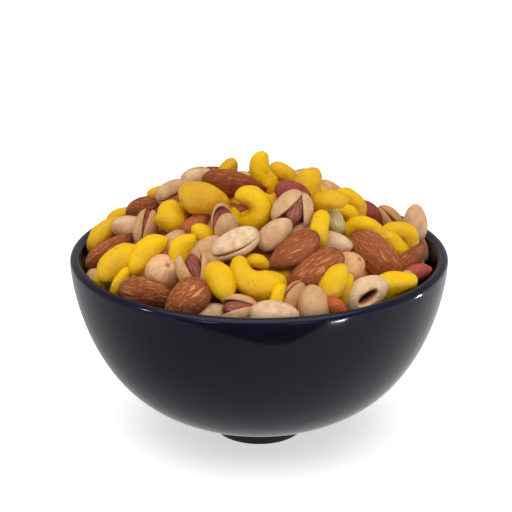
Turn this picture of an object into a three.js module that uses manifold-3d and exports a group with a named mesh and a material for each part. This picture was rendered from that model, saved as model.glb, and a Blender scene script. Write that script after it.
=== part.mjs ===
// A glazed stoneware bowl heaped with mixed nuts: almonds, cashews, pistachios in
// their shells, hazelnuts and red peanuts. Millimetres, +Z up, the front faces -Y,
// and the origin is the middle of the foot, on the surface that the bowl stands on.

import * as THREE from 'three';
import { mergeVertices } from 'three/addons/utils/BufferGeometryUtils.js';
import Module from 'manifold-3d';

const wasm = await Module();
wasm.setup();

// ---- Driving dimensions of the bowl ----

const RIM_RADIUS = 70;            // the widest part, just under the lip
const RIM_HEIGHT = 72.5;          // the top of the lip
const LIP_THICK = 4;              // the rounded lip and the wall below it
const LIP_RISE = 1.8;             // from the widest part to the top of the lip
const WALL_DEPTH = 62.3;          // the outer curve's depth below the widest part
const HOLLOW_DEPTH = 57.5;        // the same for the inner curve
const WALL_FULLNESS = 3.2;        // the curve's powers: across
const WALL_DROP = 1.65;           // and down
const FOOT_RADIUS = 17;
const FOOT_RING_WIDTH = 3.4;
const FOOT_RECESS = 7;
const FOOT_CHAMFER = 0.9;
const BOWL_SIDES = 56;
const HOLLOW_STEPS = 6;           // of the inner curve, which the heap's own curve follows

// ---- Driving dimensions of the heap ----

const MOUND_RADIUS = 58;          // the dome on which the outer nuts are centred
const MOUND_RISE = 32;
const MOUND_EDGE_BELOW_RIM = 4;
const BED_BELOW_MOUND = 5;        // the bed that the nuts are lifted out of as they settle
const CORE_BELOW_MOUND = 3.5;     // the core's top, under the nuts' middles
const CORE_EDGE_BELOW_RIM = 12;   // the bed and the core's top where they meet the wall
const CORE_SIDES = 30;
const TOUCH_GAP = 0.3;            // between the heap and the bowl
const CLEAR_ABOVE_RIM = 60;       // reach of the tool that trims the nuts to the hollow

// Each kind's usual length, and how many of 22 loose nuts are of that kind.
const KINDS = {
  almond: { long: 24, share: 5 },
  cashew: { long: 20.5, share: 8 },
  pistachio: { long: 18.5, share: 7 },
  peanut: { long: 13.5, share: 1 },
  hazelnut: { long: 13.5, share: 1 },
};

// ---- The view that the front nuts are placed from ----

const VIEW_DISTANCE = 600;        // from the eye to the point it looks at
const VIEW_ELEVATION = 20.04;     // degrees above the horizon, looking along +Y
const VIEW_FOCAL = 1611;          // in the picture's pixels
const VIEW_MIDDLE = 256;          // the picture's middle, in pixels, both ways
const VIEW_AIM = new THREE.Vector3(-1.16, 0, RIM_HEIGHT - 2.73);

// The nuts that show from the front. u and v are the nut's middle in the picture; long is
// its length; turn is the way its far tip points, in degrees from the right; tip lifts that
// tip towards the eye; roll turns it on its length; deep sets it back from the mound's face.
// fat is its girth's share of the usual, bend a cashew's form, and gap the angle that a
// pistachio's shell stands open.
const FRONT_NUTS = {
  almond: [
    { u: 377, v: 258, long: 25.5, turn: -41, roll: 18, deep: -1 },
    { u: 314, v: 272, long: 23.5, turn: 212, roll: 28, deep: -2 },
    { u: 293, v: 251, long: 21, turn: 212, roll: 35 },
    { u: 149, v: 293, long: 21, turn: -10, roll: 32 },
    { u: 186, v: 301, long: 19, turn: 218, tip: -15, roll: 8, fat: 1.25, deep: -1 },
    { u: 235, v: 184, long: 24, turn: -9, roll: 68 },
    { u: 112, v: 251, long: 23, turn: 37, roll: 60 },
    { u: 149, v: 207, long: 18, turn: 20, roll: 45, fat: 1.1, deep: 1 },
    { u: 410, v: 263, long: 18, turn: 52, roll: 40, deep: 2 },
    { u: 213, v: 176, long: 18, turn: 8, roll: 60, deep: 5 },
  ],
  cashew: [
    { u: 204, v: 205, long: 22, turn: -14, roll: 20, fat: 0.95, deep: 1, bend: 5 },
    { u: 252, v: 209, long: 17, turn: -84, roll: 10, fat: 1.2, deep: -1, bend: 0 },
    { u: 167, v: 219, long: 19.5, turn: -67, tip: 40, roll: 15, deep: -3, bend: 4 },
    { u: 256, v: 276, long: 21.5, turn: 154, roll: 8, deep: -2, bend: 3 },
    { u: 219, v: 285, long: 14.8, turn: -62, tip: 35, roll: 50, fat: 1.55, bend: 2 },
    { u: 118, v: 268, long: 21, turn: 37, roll: 35, fat: 1.05, deep: -2, bend: 2 },
    { u: 108, v: 237, long: 20, turn: 50, roll: 45, fat: 0.9, deep: 2, bend: 2 },
    { u: 267, v: 172, long: 18, turn: 108, tip: 10, roll: 20, deep: -1, bend: 2 },
    { u: 283, v: 177, long: 13, turn: -30, roll: 40, fat: 1.2, deep: 4, bend: 2 },
    { u: 230, v: 170, long: 14, turn: 70, tip: 55, roll: 60, fat: 1.2, deep: 3, bend: 2 },
    { u: 312, v: 192, long: 19, turn: 80, roll: 40, fat: 1.3, deep: 1, bend: 2 },
    { u: 329, v: 203, long: 13.5, turn: 10, tip: 20, roll: 50, fat: 1.4, bend: 1 },
    { u: 349, v: 207, long: 16.5, turn: -42, roll: 15, fat: 1.1, deep: 2, bend: 1 },
    { u: 321, v: 229, long: 15, turn: 82, roll: 60, fat: 1.1, deep: 1, bend: 2 },
    { u: 344, v: 218, long: 12, turn: -30, roll: 30, fat: 1.2, deep: 2, bend: 0 },
    { u: 364, v: 233, long: 18, turn: -18, roll: 20, deep: 2, bend: 1 },
    { u: 399, v: 240, long: 15, turn: -12, roll: 15, fat: 1.3, deep: -2, bend: 0 },
    { u: 392, v: 249, long: 18, turn: -42, roll: 50, deep: 4, bend: 2 },
    { u: 410, v: 292, long: 22, turn: 17, roll: 50, fat: 0.8, deep: -2, bend: 5 },
    { u: 337, v: 283, long: 17, turn: 64, roll: 40, fat: 0.95, deep: -3, bend: 5 },
    { u: 348, v: 290, long: 13, turn: 76, roll: 60, fat: 1.1, deep: 0, bend: 2 },
    { u: 258, v: 264, long: 9.5, turn: -10, roll: 40, fat: 1.2, deep: 2, bend: 2 },
    { u: 280, v: 299, long: 13, turn: 80, roll: 60, fat: 0.9, bend: 2 },
    { u: 203, v: 232, long: 11, turn: 150, tip: 40, roll: 60, fat: 1.35, deep: 2, bend: 2 },
    { u: 109, v: 282, long: 16, turn: 12, roll: 60, deep: 3, bend: 2 },
    { u: 122, v: 220, long: 14, turn: 30, roll: 40, deep: 5, bend: 2 },
    { u: 163, v: 196, long: 13, turn: 10, roll: 60, deep: 6, bend: 2 },
  ],
  split: [
    { u: 149, v: 256, long: 17.5, turn: 47, fat: 1.2, deep: -2 },
    { u: 187, v: 252, long: 13.5, turn: 70, roll: 5, fat: 1.5, deep: -2 },
    { u: 121, v: 282, long: 14.5, turn: 60, roll: 50, fat: 1.1, deep: -7 },
  ],
  pistachio: [
    { u: 235, v: 244, long: 18.4, turn: 206, roll: 58, fat: 0.92, deep: -3, gap: 5 },
    { u: 275, v: 234, long: 15.5, turn: 40, tip: 20, roll: 22, fat: 1.05, deep: -1 },
    { u: 294, v: 211, long: 14.5, turn: -112, roll: 80, fat: 1.15, deep: -2, gap: 50 },
    { u: 224, v: 226, long: 15.5, turn: 95, tip: 35, roll: 15, gap: 26 },
    { u: 207, v: 252, long: 16.5, turn: 205, roll: 20, deep: 1, gap: 6 },
    { u: 204, v: 264, long: 15, turn: 200, roll: 10, deep: 4, gap: 6 },
    { u: 170, v: 247, long: 15, turn: 48, roll: 10, deep: 4 },
    { u: 315, v: 306, long: 15, turn: 97, roll: 18, fat: 1.28 },
    { u: 275, v: 317, long: 17.5, turn: -4, roll: 12, gap: 4 },
    { u: 239, v: 309, long: 13.5, turn: 180, roll: 118, gap: 30 },
    { u: 213, v: 314, long: 14, turn: 10, roll: 10, deep: 3 },
    { u: 291, v: 300, long: 14, turn: 60, roll: 40, deep: 3, gap: 6 },
    { u: 363, v: 294, long: 17.5, turn: 35, roll: 102, fat: 1.25, deep: -1 },
    { u: 415, v: 224, long: 15, turn: 88, roll: 10, fat: 1.1, deep: 2 },
    { u: 390, v: 221, long: 14, turn: -50, roll: 80, deep: 1, gap: 10 },
    { u: 421, v: 245, long: 14, turn: -60, roll: 30 },
    { u: 195, v: 178, long: 12, turn: 20, roll: 30, fat: 1.1, deep: 3, gap: 6 },
    { u: 173, v: 193, long: 14, turn: 22, roll: -60, deep: 2, gap: 18 },
    { u: 132, v: 229, long: 16, turn: 168, roll: 25, deep: 1, gap: 8 },
    { u: 146, v: 229, long: 15, turn: 80, roll: 80, deep: 1, gap: 9 },
    { u: 195, v: 272, long: 14.5, turn: 100, roll: -80, gap: 34 },
    { u: 297, v: 180, long: 13, turn: 30, roll: 20, deep: 5 },
    { u: 331, v: 193, long: 13, turn: -40, roll: 20, deep: 6 },
    { u: 333, v: 243, long: 14, turn: -12, roll: 20, deep: 4 },
    { u: 303, v: 233, long: 14, turn: 20, roll: 10, deep: 5 },
    { u: 99, v: 286, long: 15, turn: -45, roll: 20, deep: 3 },
    { u: 90, v: 260, long: 13, turn: 80, roll: 20, deep: 3 },
  ],
  hazelnut: [
    { u: 163, v: 272, long: 13.6, turn: 50, tip: 60, deep: -1 },
    { u: 348, v: 269, long: 12.5, turn: 40, tip: 30, deep: 2 },
  ],
  peanut: [
    { u: 293, v: 193, long: 13.5, turn: -12, deep: 1 },
    { u: 370, v: 213, long: 12, turn: -45 },
    { u: 416, v: 272, long: 11, turn: 14, deep: -2 },
  ],
  kernel: [
    { u: 335, v: 221, long: 11, turn: -60, fat: 1.1, deep: -1 },
    { u: 404, v: 276, long: 7, turn: 20, deep: 1 },
    { u: 336, v: 308, long: 9.5, turn: -45, roll: 20, fat: 1.2, deep: -2 },
    { u: 194, v: 225, long: 11.5, turn: 40, roll: 30, fat: 1.1, deep: 4 },
  ],
};

const FACET_SWELL = 1.09;         // gives a nut of few sides its round form's volume
const NUT_SIDES = 6;              // round a nut's length
const OPEN_SIDES = 10;            // the same where its shell stands open
const NUT_RINGS = 4;              // along its length
const BENT_RINGS = 6;             // the same for a cashew

// ---- The loose nuts over the rest of the mound ----

const SPIRAL_SPOTS = 420;         // a golden-angle spiral of places to try
const SPIRAL_RADIUS = 60;
const GOLDEN_ANGLE = 137.508;
const SPIRAL_START_Y = -40;       // the front nuts alone fill the mound before this
const NUT_SPACING = 11.5;         // between the middles, before they settle
const CREST_SPACING = 10.5;       // the same on the crest, which the front view grazes,
const CREST_BACK_Y = 28;          // as far back as this
const LOOSE_SINK = 1;             // below the mound's face
const CREST_SINK = 4;             // and on the crest, so that the front nuts stand out
const NUT_SEED = 20311;
const TIP_SPREAD = 24;            // degrees, evenly drawn either way
const ROLL_SPREAD = 70;
const ROLL_BACK = 0.3;            // share of the roll's spread that leans the other way
const LENGTH_SPREAD = 0.2;
const LOOSE_BENDS = 3;            // the loose cashews take the first few forms
const WIDEST_GAP = 20;            // of the loose pistachios

// ---- How the nuts settle against each other ----

const SETTLE_STEPS = 80;
const SETTLE_CLOSENESS = 0.94;    // of two balls' radii; the rest is their true curve
const SIDE_SLIP = 0.15;           // a nut slides along its own depth sooner than aside
const DEPTH_SLACK = 0.9;
const DEPTH_PRESS = 0.08;         // each step's weight on a nut, in mm towards the mound
const BED_SHARE = 0.5;            // share of a ball's radius that stays out of the bed
const BED_LIFT = 0.5;             // share of what is sunk deeper that a step lifts out
const LIFT_LIMIT = 2;
const LEAST_FACING = 0.35;        // keeps a nut on a grazing depth from leaping out
const HOME_PULL = 0.08;
const WALL_PULL = 0.8;
const CROWD_POWER = 0.7;          // shares a push out among a nut's own balls

// Balls that stand for each kind, in its own length: along, aside, up, radius.
const BALLS = {
  almond: [
    [-0.3, 0, 0, 0.17], [-0.05, 0.09, 0, 0.165], [-0.05, -0.09, 0, 0.165],
    [0.16, 0.05, 0, 0.15], [0.16, -0.05, 0, 0.15], [0.34, 0, 0, 0.1],
  ],
  split: [[-0.3, 0, 0, 0.14], [-0.1, 0.04, 0, 0.14], [0.1, 0.04, 0, 0.13], [0.3, 0, 0, 0.12]],
  pistachio: [[-0.2, 0, 0, 0.24], [0.02, 0, 0, 0.27], [0.22, 0, 0, 0.22]],
  hazelnut: [[0, 0, 0, 0.47]],
  peanut: [[-0.17, 0, 0, 0.31], [0.17, 0, 0, 0.31]],
  kernel: [[-0.2, 0, 0, 0.22], [0.2, 0, 0, 0.22]],
};

// A cashew is bent round an arc: half its angle in degrees, the radius of its spine and of
// its body, how far the arc's middle lies below the nut's, all in its own length, and how
// much thinner it is at its far tip.
const CASHEW_BENDS = [
  { half: 136, spine: 0.285, thick: 0.19, drop: 0.08, taper: 0.12 },
  { half: 88, spine: 0.345, thick: 0.185, drop: 0.18, taper: 0.14 },
  { half: 64, spine: 0.41, thick: 0.215, drop: 0.27, taper: 0.14 },
  { half: 84, spine: 0.35, thick: 0.235, drop: 0.2, taper: 0.32 },
  { half: 60, spine: 0.3, thick: 0.3, drop: 0.2, taper: -0.35 },
  { half: 38, spine: 0.62, thick: 0.265, drop: 0.53, taper: 0.3 },
];

// A cashew's balls lie along its spine: place from end to end, and share of its thickness.
const CASHEW_BALLS = [[-0.8, 0.8], [-0.42, 0.97], [0, 1], [0.42, 0.97], [0.8, 0.8]];
const CASHEW_END = 3;             // the powers that round its ends off
const CASHEW_BLUNT = 0.43;
const CASHEW_FLAT = 0.94;         // its height's share of its girth

// Half widths and heights of the other kinds, in their own length, and how much thinner
// they are at the far tip than in the middle.
const SHAPES = {
  almond: { wide: 0.262, high: 0.178, taper: 0.3 },
  split: { wide: 0.2, high: 0.12, taper: 0 },
  pistachio: { wide: 0.285, high: 0.275, taper: 0.1 },
  hazelnut: { wide: 0.47, high: 0.47, taper: 0 },
  peanut: { wide: 0.3, high: 0.3, taper: 0.1 },
  kernel: { wide: 0.27, high: 0.25, taper: 0.12 },
};
const SPLIT_BOW = 0.1;            // how far a split half bows aside

// A pistachio whose shell stands wider open than the least gap shows its kernel: the
// vertices on the seam are drawn in to it, and those beside the seam are drawn to the seam.
const HINGE = -0.42;              // where the half shells turn, along the length
const LEAST_GAP = 10;
const SEAM_START = -0.7;          // where the seam starts to open, and over what length
const SEAM_REACH = 1.2;
const KERNEL_SHORT = 0.06;
const KERNEL_NARROW = 0.35;
const SEAM_CROWDING = 0.36;
const TINY = 1e-6;

// ---- Solids ----

const MERGE_REACH = 1e-4;

// Merges a geometry's shared vertices and leaves out the faces that this closes up.
function closedGeometry(geometry) {
  geometry.deleteAttribute('normal');
  geometry.deleteAttribute('uv');
  const merged = mergeVertices(geometry, MERGE_REACH);
  const corners = merged.index.array;
  const kept = [];
  for (let i = 0; i < corners.length; i += 3) {
    const [a, b, c] = corners.slice(i, i + 3);
    if (a !== b && b !== c && c !== a) kept.push(a, b, c);
  }
  merged.setIndex(kept);
  return merged;
}

function toSolid(geometry) {
  return new wasm.Manifold(new wasm.Mesh({
    numProp: 3,
    vertProperties: new Float32Array(geometry.attributes.position.array),
    triVerts: new Uint32Array(geometry.index.array),
  }));
}

function toGeometry(solid) {
  const { vertProperties, triVerts } = solid.getMesh();
  const geometry = new THREE.BufferGeometry();
  geometry.setAttribute('position', new THREE.BufferAttribute(vertProperties, 3));
  geometry.setIndex(new THREE.BufferAttribute(triVerts, 1));
  geometry.computeVertexNormals();
  return geometry;
}

// A solid of revolution about Z, from a profile of [radius, height] that starts and ends
// on the axis, running up its outside.
function turned(profile, sides) {
  const points = profile.map(([radius, height]) => new THREE.Vector2(radius, height));
  return closedGeometry(new THREE.LatheGeometry(points, sides).rotateX(Math.PI / 2));
}

// ---- The bowl ----

const WIDEST_HEIGHT = RIM_HEIGHT - LIP_RISE;
const HOLLOW_RADIUS = RIM_RADIUS - LIP_THICK;

// Radius of the wall's curve at a depth below the widest part.
function wallRadius(depth, radius, fullDepth) {
  const drop = Math.min(Math.max(depth / fullDepth, 0), 1);
  return radius * (1 - drop ** WALL_DROP) ** (1 / WALL_FULLNESS);
}

// Depth of the wall's curve at a radius.
function wallDepth(atRadius, radius, fullDepth) {
  return fullDepth * (1 - (atRadius / radius) ** WALL_FULLNESS) ** (1 / WALL_DROP);
}

// Points down a wall's curve from its widest part to a radius near its foot, spaced so
// that the steep upper wall and the flat floor are divided alike.
function wallCurve(radius, fullDepth, endRadius, steps) {
  const points = [];
  const endAngle = Math.acos((endRadius / radius) ** (WALL_FULLNESS / 2));
  for (let step = 0; step <= steps; step += 1) {
    const angle = (step / steps) * endAngle;
    const at = radius * Math.cos(angle) ** (2 / WALL_FULLNESS);
    points.push([at, WIDEST_HEIGHT - wallDepth(Math.min(at, radius), radius, fullDepth)]);
  }
  return points;
}

function bowlGeometry() {
  const wallSteps = 10;
  const lipSteps = 5;
  const ringInner = FOOT_RADIUS - FOOT_RING_WIDTH;
  const foot = [
    [0, FOOT_RECESS],
    [ringInner - FOOT_CHAMFER, FOOT_RECESS],
    [ringInner, 0],
    [FOOT_RADIUS - FOOT_CHAMFER, 0],
    [FOOT_RADIUS, FOOT_CHAMFER],
  ];
  const outside = wallCurve(RIM_RADIUS, WALL_DEPTH, FOOT_RADIUS, wallSteps).reverse();
  const lip = [];
  for (let step = 1; step < lipSteps; step += 1) {
    const angle = (step / lipSteps) * Math.PI;
    const middle = RIM_RADIUS - LIP_THICK / 2;
    lip.push([middle + (LIP_THICK / 2) * Math.cos(angle), WIDEST_HEIGHT + LIP_RISE * Math.sin(angle)]);
  }
  const inside = wallCurve(HOLLOW_RADIUS, HOLLOW_DEPTH, 0, HOLLOW_STEPS);
  return turned([...foot, ...outside, ...lip, ...inside], BOWL_SIDES);
}

// ---- Where the nuts lie ----

function moundHeight(radius) {
  const edge = RIM_HEIGHT - MOUND_EDGE_BELOW_RIM;
  return edge + MOUND_RISE * (1 - (radius / MOUND_RADIUS) ** 2);
}

// The outward direction of the mound's face at a place, with an upward part of 1.
function moundNormal(place) {
  const slope = (2 * MOUND_RISE) / MOUND_RADIUS ** 2;
  return new THREE.Vector3(slope * place.x, slope * place.y, 1);
}

const viewRise = THREE.MathUtils.degToRad(VIEW_ELEVATION);
const VIEW = {
  right: new THREE.Vector3(1, 0, 0),
  up: new THREE.Vector3(0, Math.sin(viewRise), Math.cos(viewRise)),
  toward: new THREE.Vector3(0, -Math.cos(viewRise), Math.sin(viewRise)),
};
VIEW.eye = VIEW_AIM.clone().addScaledVector(VIEW.toward, VIEW_DISTANCE);

// The direction from the eye through a place in the picture.
function sightLine(u, v) {
  return new THREE.Vector3()
    .addScaledVector(VIEW.right, u - VIEW_MIDDLE)
    .addScaledVector(VIEW.up, VIEW_MIDDLE - v)
    .addScaledVector(VIEW.toward, -VIEW_FOCAL)
    .normalize();
}

// Where a sight line meets the mound, or passes nearest to it, and deep further on.
function placeOnMound(sight, deep) {
  const { eye } = VIEW;
  const fall = MOUND_RISE / MOUND_RADIUS ** 2;
  const square = fall * (sight.x ** 2 + sight.y ** 2);
  const linear = sight.z + 2 * fall * (eye.x * sight.x + eye.y * sight.y);
  const offset = eye.z - moundHeight(0) + fall * (eye.x ** 2 + eye.y ** 2);
  const root = Math.sqrt(Math.max(linear ** 2 - 4 * square * offset, 0));
  const reach = (-linear - root) / (2 * square);
  return eye.clone().addScaledVector(sight, reach + deep);
}

// A nut's own axes, turned, tipped and rolled from a frame of right, up and toward.
function nutAxes(frame, turn, tip, roll) {
  const { degToRad } = THREE.MathUtils;
  return new THREE.Matrix4()
    .makeBasis(frame.right, frame.up, frame.toward)
    .multiply(new THREE.Matrix4().makeRotationZ(degToRad(turn)))
    .multiply(new THREE.Matrix4().makeRotationY(degToRad(-tip)))
    .multiply(new THREE.Matrix4().makeRotationX(degToRad(roll)));
}

function frontNuts() {
  return Object.entries(FRONT_NUTS).flatMap(([kind, rows]) => rows.map((row) => {
    const { u, v, long, turn, tip = 0, roll = 0, deep = 0, fat = 1, bend = 0, gap = 0 } = row;
    const sight = sightLine(u, v);
    return {
      kind, long, fat, bend, gap, depth: sight,
      place: placeOnMound(sight, deep),
      axes: nutAxes(VIEW, turn, tip, roll),
    };
  }));
}

// Evenly mixed numbers from 0 to 1, the same in every run.
function numberStream(seed) {
  const factor = 16807;
  const modulus = 2147483647;
  let state = seed;
  return () => {
    state = (state * factor) % modulus;
    return state / modulus;
  };
}

// The mound's own frame at a place: right along the slope's level line, toward outwards.
function moundFrame(place) {
  const toward = moundNormal(place).normalize();
  const right = new THREE.Vector3(0, 1, 0).cross(toward).normalize();
  return { right, up: toward.clone().cross(right), toward };
}

function looseNuts(others) {
  const next = numberStream(NUT_SEED);
  const kinds = Object.entries(KINDS).flatMap(([kind, { share }]) => Array(share).fill(kind));
  const found = [...others];
  for (let spot = 0; spot < SPIRAL_SPOTS; spot += 1) {
    const radius = SPIRAL_RADIUS * Math.sqrt((spot + 0.5) / SPIRAL_SPOTS);
    const angle = THREE.MathUtils.degToRad(spot * GOLDEN_ANGLE);
    const place = new THREE.Vector3(
      radius * Math.cos(angle), radius * Math.sin(angle), moundHeight(radius));
    const onCrest = place.y < CREST_BACK_Y;
    const spacing = onCrest ? CREST_SPACING : NUT_SPACING;
    const taken = found.some((nut) => nut.place.distanceTo(place) < spacing);
    if (place.y < SPIRAL_START_Y || taken) continue;
    const frame = moundFrame(place);
    const kind = kinds[Math.floor(next() * kinds.length)];
    const turn = 360 * next();
    const tip = TIP_SPREAD * (next() - 0.5);
    const roll = ROLL_SPREAD * (next() - ROLL_BACK);
    const long = KINDS[kind].long * (1 + LENGTH_SPREAD * (next() - 0.5));
    const form = next();
    place.addScaledVector(frame.toward, onCrest ? -CREST_SINK : -LOOSE_SINK);
    found.push({
      kind, long, place,
      fat: 1,
      bend: Math.floor(form * LOOSE_BENDS),
      gap: WIDEST_GAP * form ** 2,
      depth: frame.toward.clone().negate(),
      axes: nutAxes(frame, turn, tip, roll),
    });
  }
  return found.slice(others.length);
}

// The height of a dome some way below the mound's face, at a distance from the axis.
function domeHeight(radius, belowMound) {
  return Math.max(moundHeight(radius) - belowMound, RIM_HEIGHT - CORE_EDGE_BELOW_RIM);
}

// How far a ball must rise along its nut's depth to lie only part sunk in the bed.
function riseFromBed(middle, radius, depth) {
  const normal = moundNormal(middle);
  const above = middle.z - domeHeight(Math.hypot(middle.x, middle.y), BED_BELOW_MOUND);
  const sunk = radius * BED_SHARE - above / normal.length();
  if (sunk <= 0) return 0;
  const facing = Math.max(Math.abs(normal.normalize().dot(depth)), LEAST_FACING);
  return Math.min(sunk / facing, LIFT_LIMIT);
}

// How far a ball may stand from the axis at a height.
function roomInBowl(height) {
  return wallRadius(WIDEST_HEIGHT - height, HOLLOW_RADIUS, HOLLOW_DEPTH) - TOUCH_GAP;
}

// The balls that stand for a nut, in its own length.
function ballsOf({ kind, bend, fat }) {
  if (kind !== 'cashew') {
    return BALLS[kind].map(([x, y, z, radius]) => [x, y * fat, z * fat, radius * fat]);
  }
  const { half, spine, thick, drop, taper } = CASHEW_BENDS[bend];
  return CASHEW_BALLS.map(([along, share]) => {
    const angle = THREE.MathUtils.degToRad(half * along);
    const radius = thick * fat * share * (1 - taper * along);
    return [spine * Math.sin(angle), spine * Math.cos(angle) - drop, 0, radius];
  });
}

// Moves the nuts apart, mostly along their own depth, until they only touch. The first
// few can be fixed: these stay put, and the others rise no higher than they start.
function settle(nuts, fixed = 0) {
  const balls = nuts.flatMap((nut, owner) => ballsOf(nut).map(([x, y, z, radius]) => ({
    owner,
    radius: radius * nut.long,
    offset: new THREE.Vector3(x, y, z).multiplyScalar(nut.long).applyMatrix4(nut.axes),
  })));
  const homes = nuts.map((nut) => nut.place.clone());
  for (let step = 0; step < SETTLE_STEPS; step += 1) {
    const middles = balls.map((ball) => nuts[ball.owner].place.clone().add(ball.offset));
    const pushes = nuts.map(() => ({ sum: new THREE.Vector3(), count: 0 }));
    const walls = nuts.map(() => ({ sum: new THREE.Vector3(), count: 0 }));
    const rises = nuts.map(() => ({ sum: 0, count: 0 }));
    balls.forEach((ball, i) => {
      balls.forEach((other, j) => {
        if (other.owner === ball.owner) return;
        const apart = middles[i].clone().sub(middles[j]);
        const distance = apart.length();
        const overlap = (ball.radius + other.radius) * SETTLE_CLOSENESS - distance;
        if (overlap <= 0 || distance === 0) return;
        const share = other.owner < fixed ? 1 : 0.5;
        pushes[ball.owner].sum.addScaledVector(apart, (share * overlap) / distance);
        pushes[ball.owner].count += 1;
      });
      const rise = riseFromBed(middles[i], ball.radius, nuts[ball.owner].depth);
      rises[ball.owner].sum += rise;
      rises[ball.owner].count += rise > 0 ? 1 : 0;
      const out = Math.hypot(middles[i].x, middles[i].y);
      const over = out + ball.radius - roomInBowl(middles[i].z);
      if (over <= 0) return;
      walls[ball.owner].sum.x -= (over / out) * middles[i].x;
      walls[ball.owner].sum.y -= (over / out) * middles[i].y;
      walls[ball.owner].count += 1;
    });
    nuts.forEach((nut, i) => {
      if (i < fixed) return;
      const push = pushes[i].sum.divideScalar(Math.max(pushes[i].count, 1) ** CROWD_POWER);
      const along = nut.depth.clone().multiplyScalar(push.dot(nut.depth));
      const aside = push.sub(along);
      const home = homes[i].clone().sub(nut.place);
      home.addScaledVector(nut.depth, -DEPTH_SLACK * home.dot(nut.depth));
      nut.place.add(along).addScaledVector(aside, SIDE_SLIP).addScaledVector(home, HOME_PULL);
      nut.place.addScaledVector(walls[i].sum, WALL_PULL / Math.max(walls[i].count, 1));
      const rise = rises[i].sum / Math.max(rises[i].count, 1);
      const press = -DEPTH_PRESS * Math.sign(moundNormal(nut.place).dot(nut.depth));
      nut.place.addScaledVector(nut.depth, press - BED_LIFT * rise);
      if (fixed === 0) return;
      const risen = homes[i].clone().sub(nut.place).dot(nut.depth);
      nut.place.addScaledVector(nut.depth, Math.max(risen, 0));
    });
  }
}

// ---- The forms of the nuts, in their own length ----

// Each form takes a point of the unit ball, x along the nut, and gives the nut's point.
function cashewForm({ x, y, z }, { bend, fat }) {
  const { half, spine, thick, drop, taper } = CASHEW_BENDS[bend];
  const angle = THREE.MathUtils.degToRad(half * x);
  const across = Math.sqrt(Math.max(1 - x * x, TINY));
  const rounded = (1 - Math.abs(x) ** CASHEW_END) ** CASHEW_BLUNT;
  const girth = (thick * fat * (1 - taper * x) * rounded) / across;
  const out = spine + y * girth;
  return [out * Math.sin(angle), out * Math.cos(angle) - drop, z * girth * CASHEW_FLAT];
}

function roundForm({ x, y, z }, { kind, fat }) {
  const { wide, high, taper } = SHAPES[kind];
  const girth = fat * (1 - taper * x);
  return [x / 2, wide * girth * y, high * girth * z];
}

function splitForm(point, nut) {
  const [x, y, z] = roundForm(point, nut);
  return [x, y + SPLIT_BOW * nut.fat * (1 - point.x ** 2), z];
}

function pistachioForm(point, nut) {
  const [long, wide, high] = roundForm(point, nut);
  const along = THREE.MathUtils.clamp((point.x - SEAM_START) / SEAM_REACH, 0, 1);
  const open = along * Math.min(nut.gap / LEAST_GAP, 1);
  if (Math.abs(point.z) < TINY) {
    return [long - KERNEL_SHORT * open * Math.max(point.x, 0), wide * (1 - KERNEL_NARROW * open), high];
  }
  const swing = THREE.MathUtils.degToRad(nut.gap / 2) * Math.sign(point.z);
  const reach = long - HINGE;
  return [
    HINGE + reach * Math.cos(swing) - high * Math.sin(swing),
    wide,
    reach * Math.sin(swing) + high * Math.cos(swing),
  ];
}

const FORMS = { cashew: cashewForm, split: splitForm, pistachio: pistachioForm };

// Crowds a ball's vertices towards the seam between the half shells.
function crowdToSeam(point) {
  const across = Math.hypot(point.y, point.z);
  const angle = Math.atan2(point.z, point.y);
  const drawn = angle - SEAM_CROWDING * Math.sin(2 * angle);
  point.y = across * Math.cos(drawn);
  point.z = across * Math.sin(drawn);
}

// A nut of few sides: a ball with its poles on X, reshaped and set in its place.
function nutSolid(nut) {
  const open = nut.kind === 'pistachio' && nut.gap > LEAST_GAP;
  const around = open ? OPEN_SIDES : NUT_SIDES;
  const rings = nut.kind === 'cashew' ? BENT_RINGS : NUT_RINGS;
  const form = FORMS[nut.kind] ?? roundForm;
  const ball = closedGeometry(new THREE.SphereGeometry(1, around, rings).rotateZ(-Math.PI / 2));
  const corners = ball.attributes.position;
  const point = new THREE.Vector3();
  for (let i = 0; i < corners.count; i += 1) {
    point.fromBufferAttribute(corners, i);
    if (open) crowdToSeam(point);
    point.fromArray(form(point, nut));
    point.multiplyScalar(nut.long * FACET_SWELL).applyMatrix4(nut.axes).add(nut.place);
    corners.setXYZ(i, point.x, point.y, point.z);
  }
  return toSolid(ball);
}

// ---- The heap ----

// What the nuts may fill: the bowl's hollow, a touching gap inside its wall, and the
// space straight above it.
function roomGeometry() {
  const radius = HOLLOW_RADIUS - TOUCH_GAP;
  const high = RIM_HEIGHT + CLEAR_ABOVE_RIM;
  const wall = wallCurve(radius, HOLLOW_DEPTH - TOUCH_GAP, 0, HOLLOW_STEPS).reverse();
  return turned([...wall, [radius, high], [0, high]], CORE_SIDES);
}

// A dome under the nuts, deep enough to fill the hollow once it is trimmed to it.
function coreGeometry() {
  const steps = 6;
  const profile = [[0, 0], [HOLLOW_RADIUS, 0]];
  for (let step = steps; step >= 0; step -= 1) {
    const radius = HOLLOW_RADIUS * (step / steps);
    profile.push([radius, domeHeight(radius, CORE_BELOW_MOUND)]);
  }
  return turned(profile, CORE_SIDES);
}

// The core and every nut as one solid, trimmed to the bowl's hollow. What fusing shuts in
// is filled and what it leaves loose is dropped, as only the largest piece is kept.
function heapGeometry() {
  const front = frontNuts();
  settle(front);
  const nuts = [...front, ...looseNuts(front)];
  settle(nuts, front.length);
  const joined = wasm.Manifold.union([toSolid(coreGeometry()), ...nuts.map(nutSolid)]);
  const pieces = joined.intersect(toSolid(roomGeometry())).decompose();
  pieces.sort((a, b) => b.volume() - a.volume());
  return toGeometry(pieces[0]);
}

// ---- The model ----

const glaze = new THREE.MeshStandardMaterial({ color: 0x24222c, roughness: 0.18, metalness: 0 });
const nutSkins = new THREE.MeshStandardMaterial({ color: 0xc4924c, roughness: 0.55, metalness: 0 });

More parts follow.
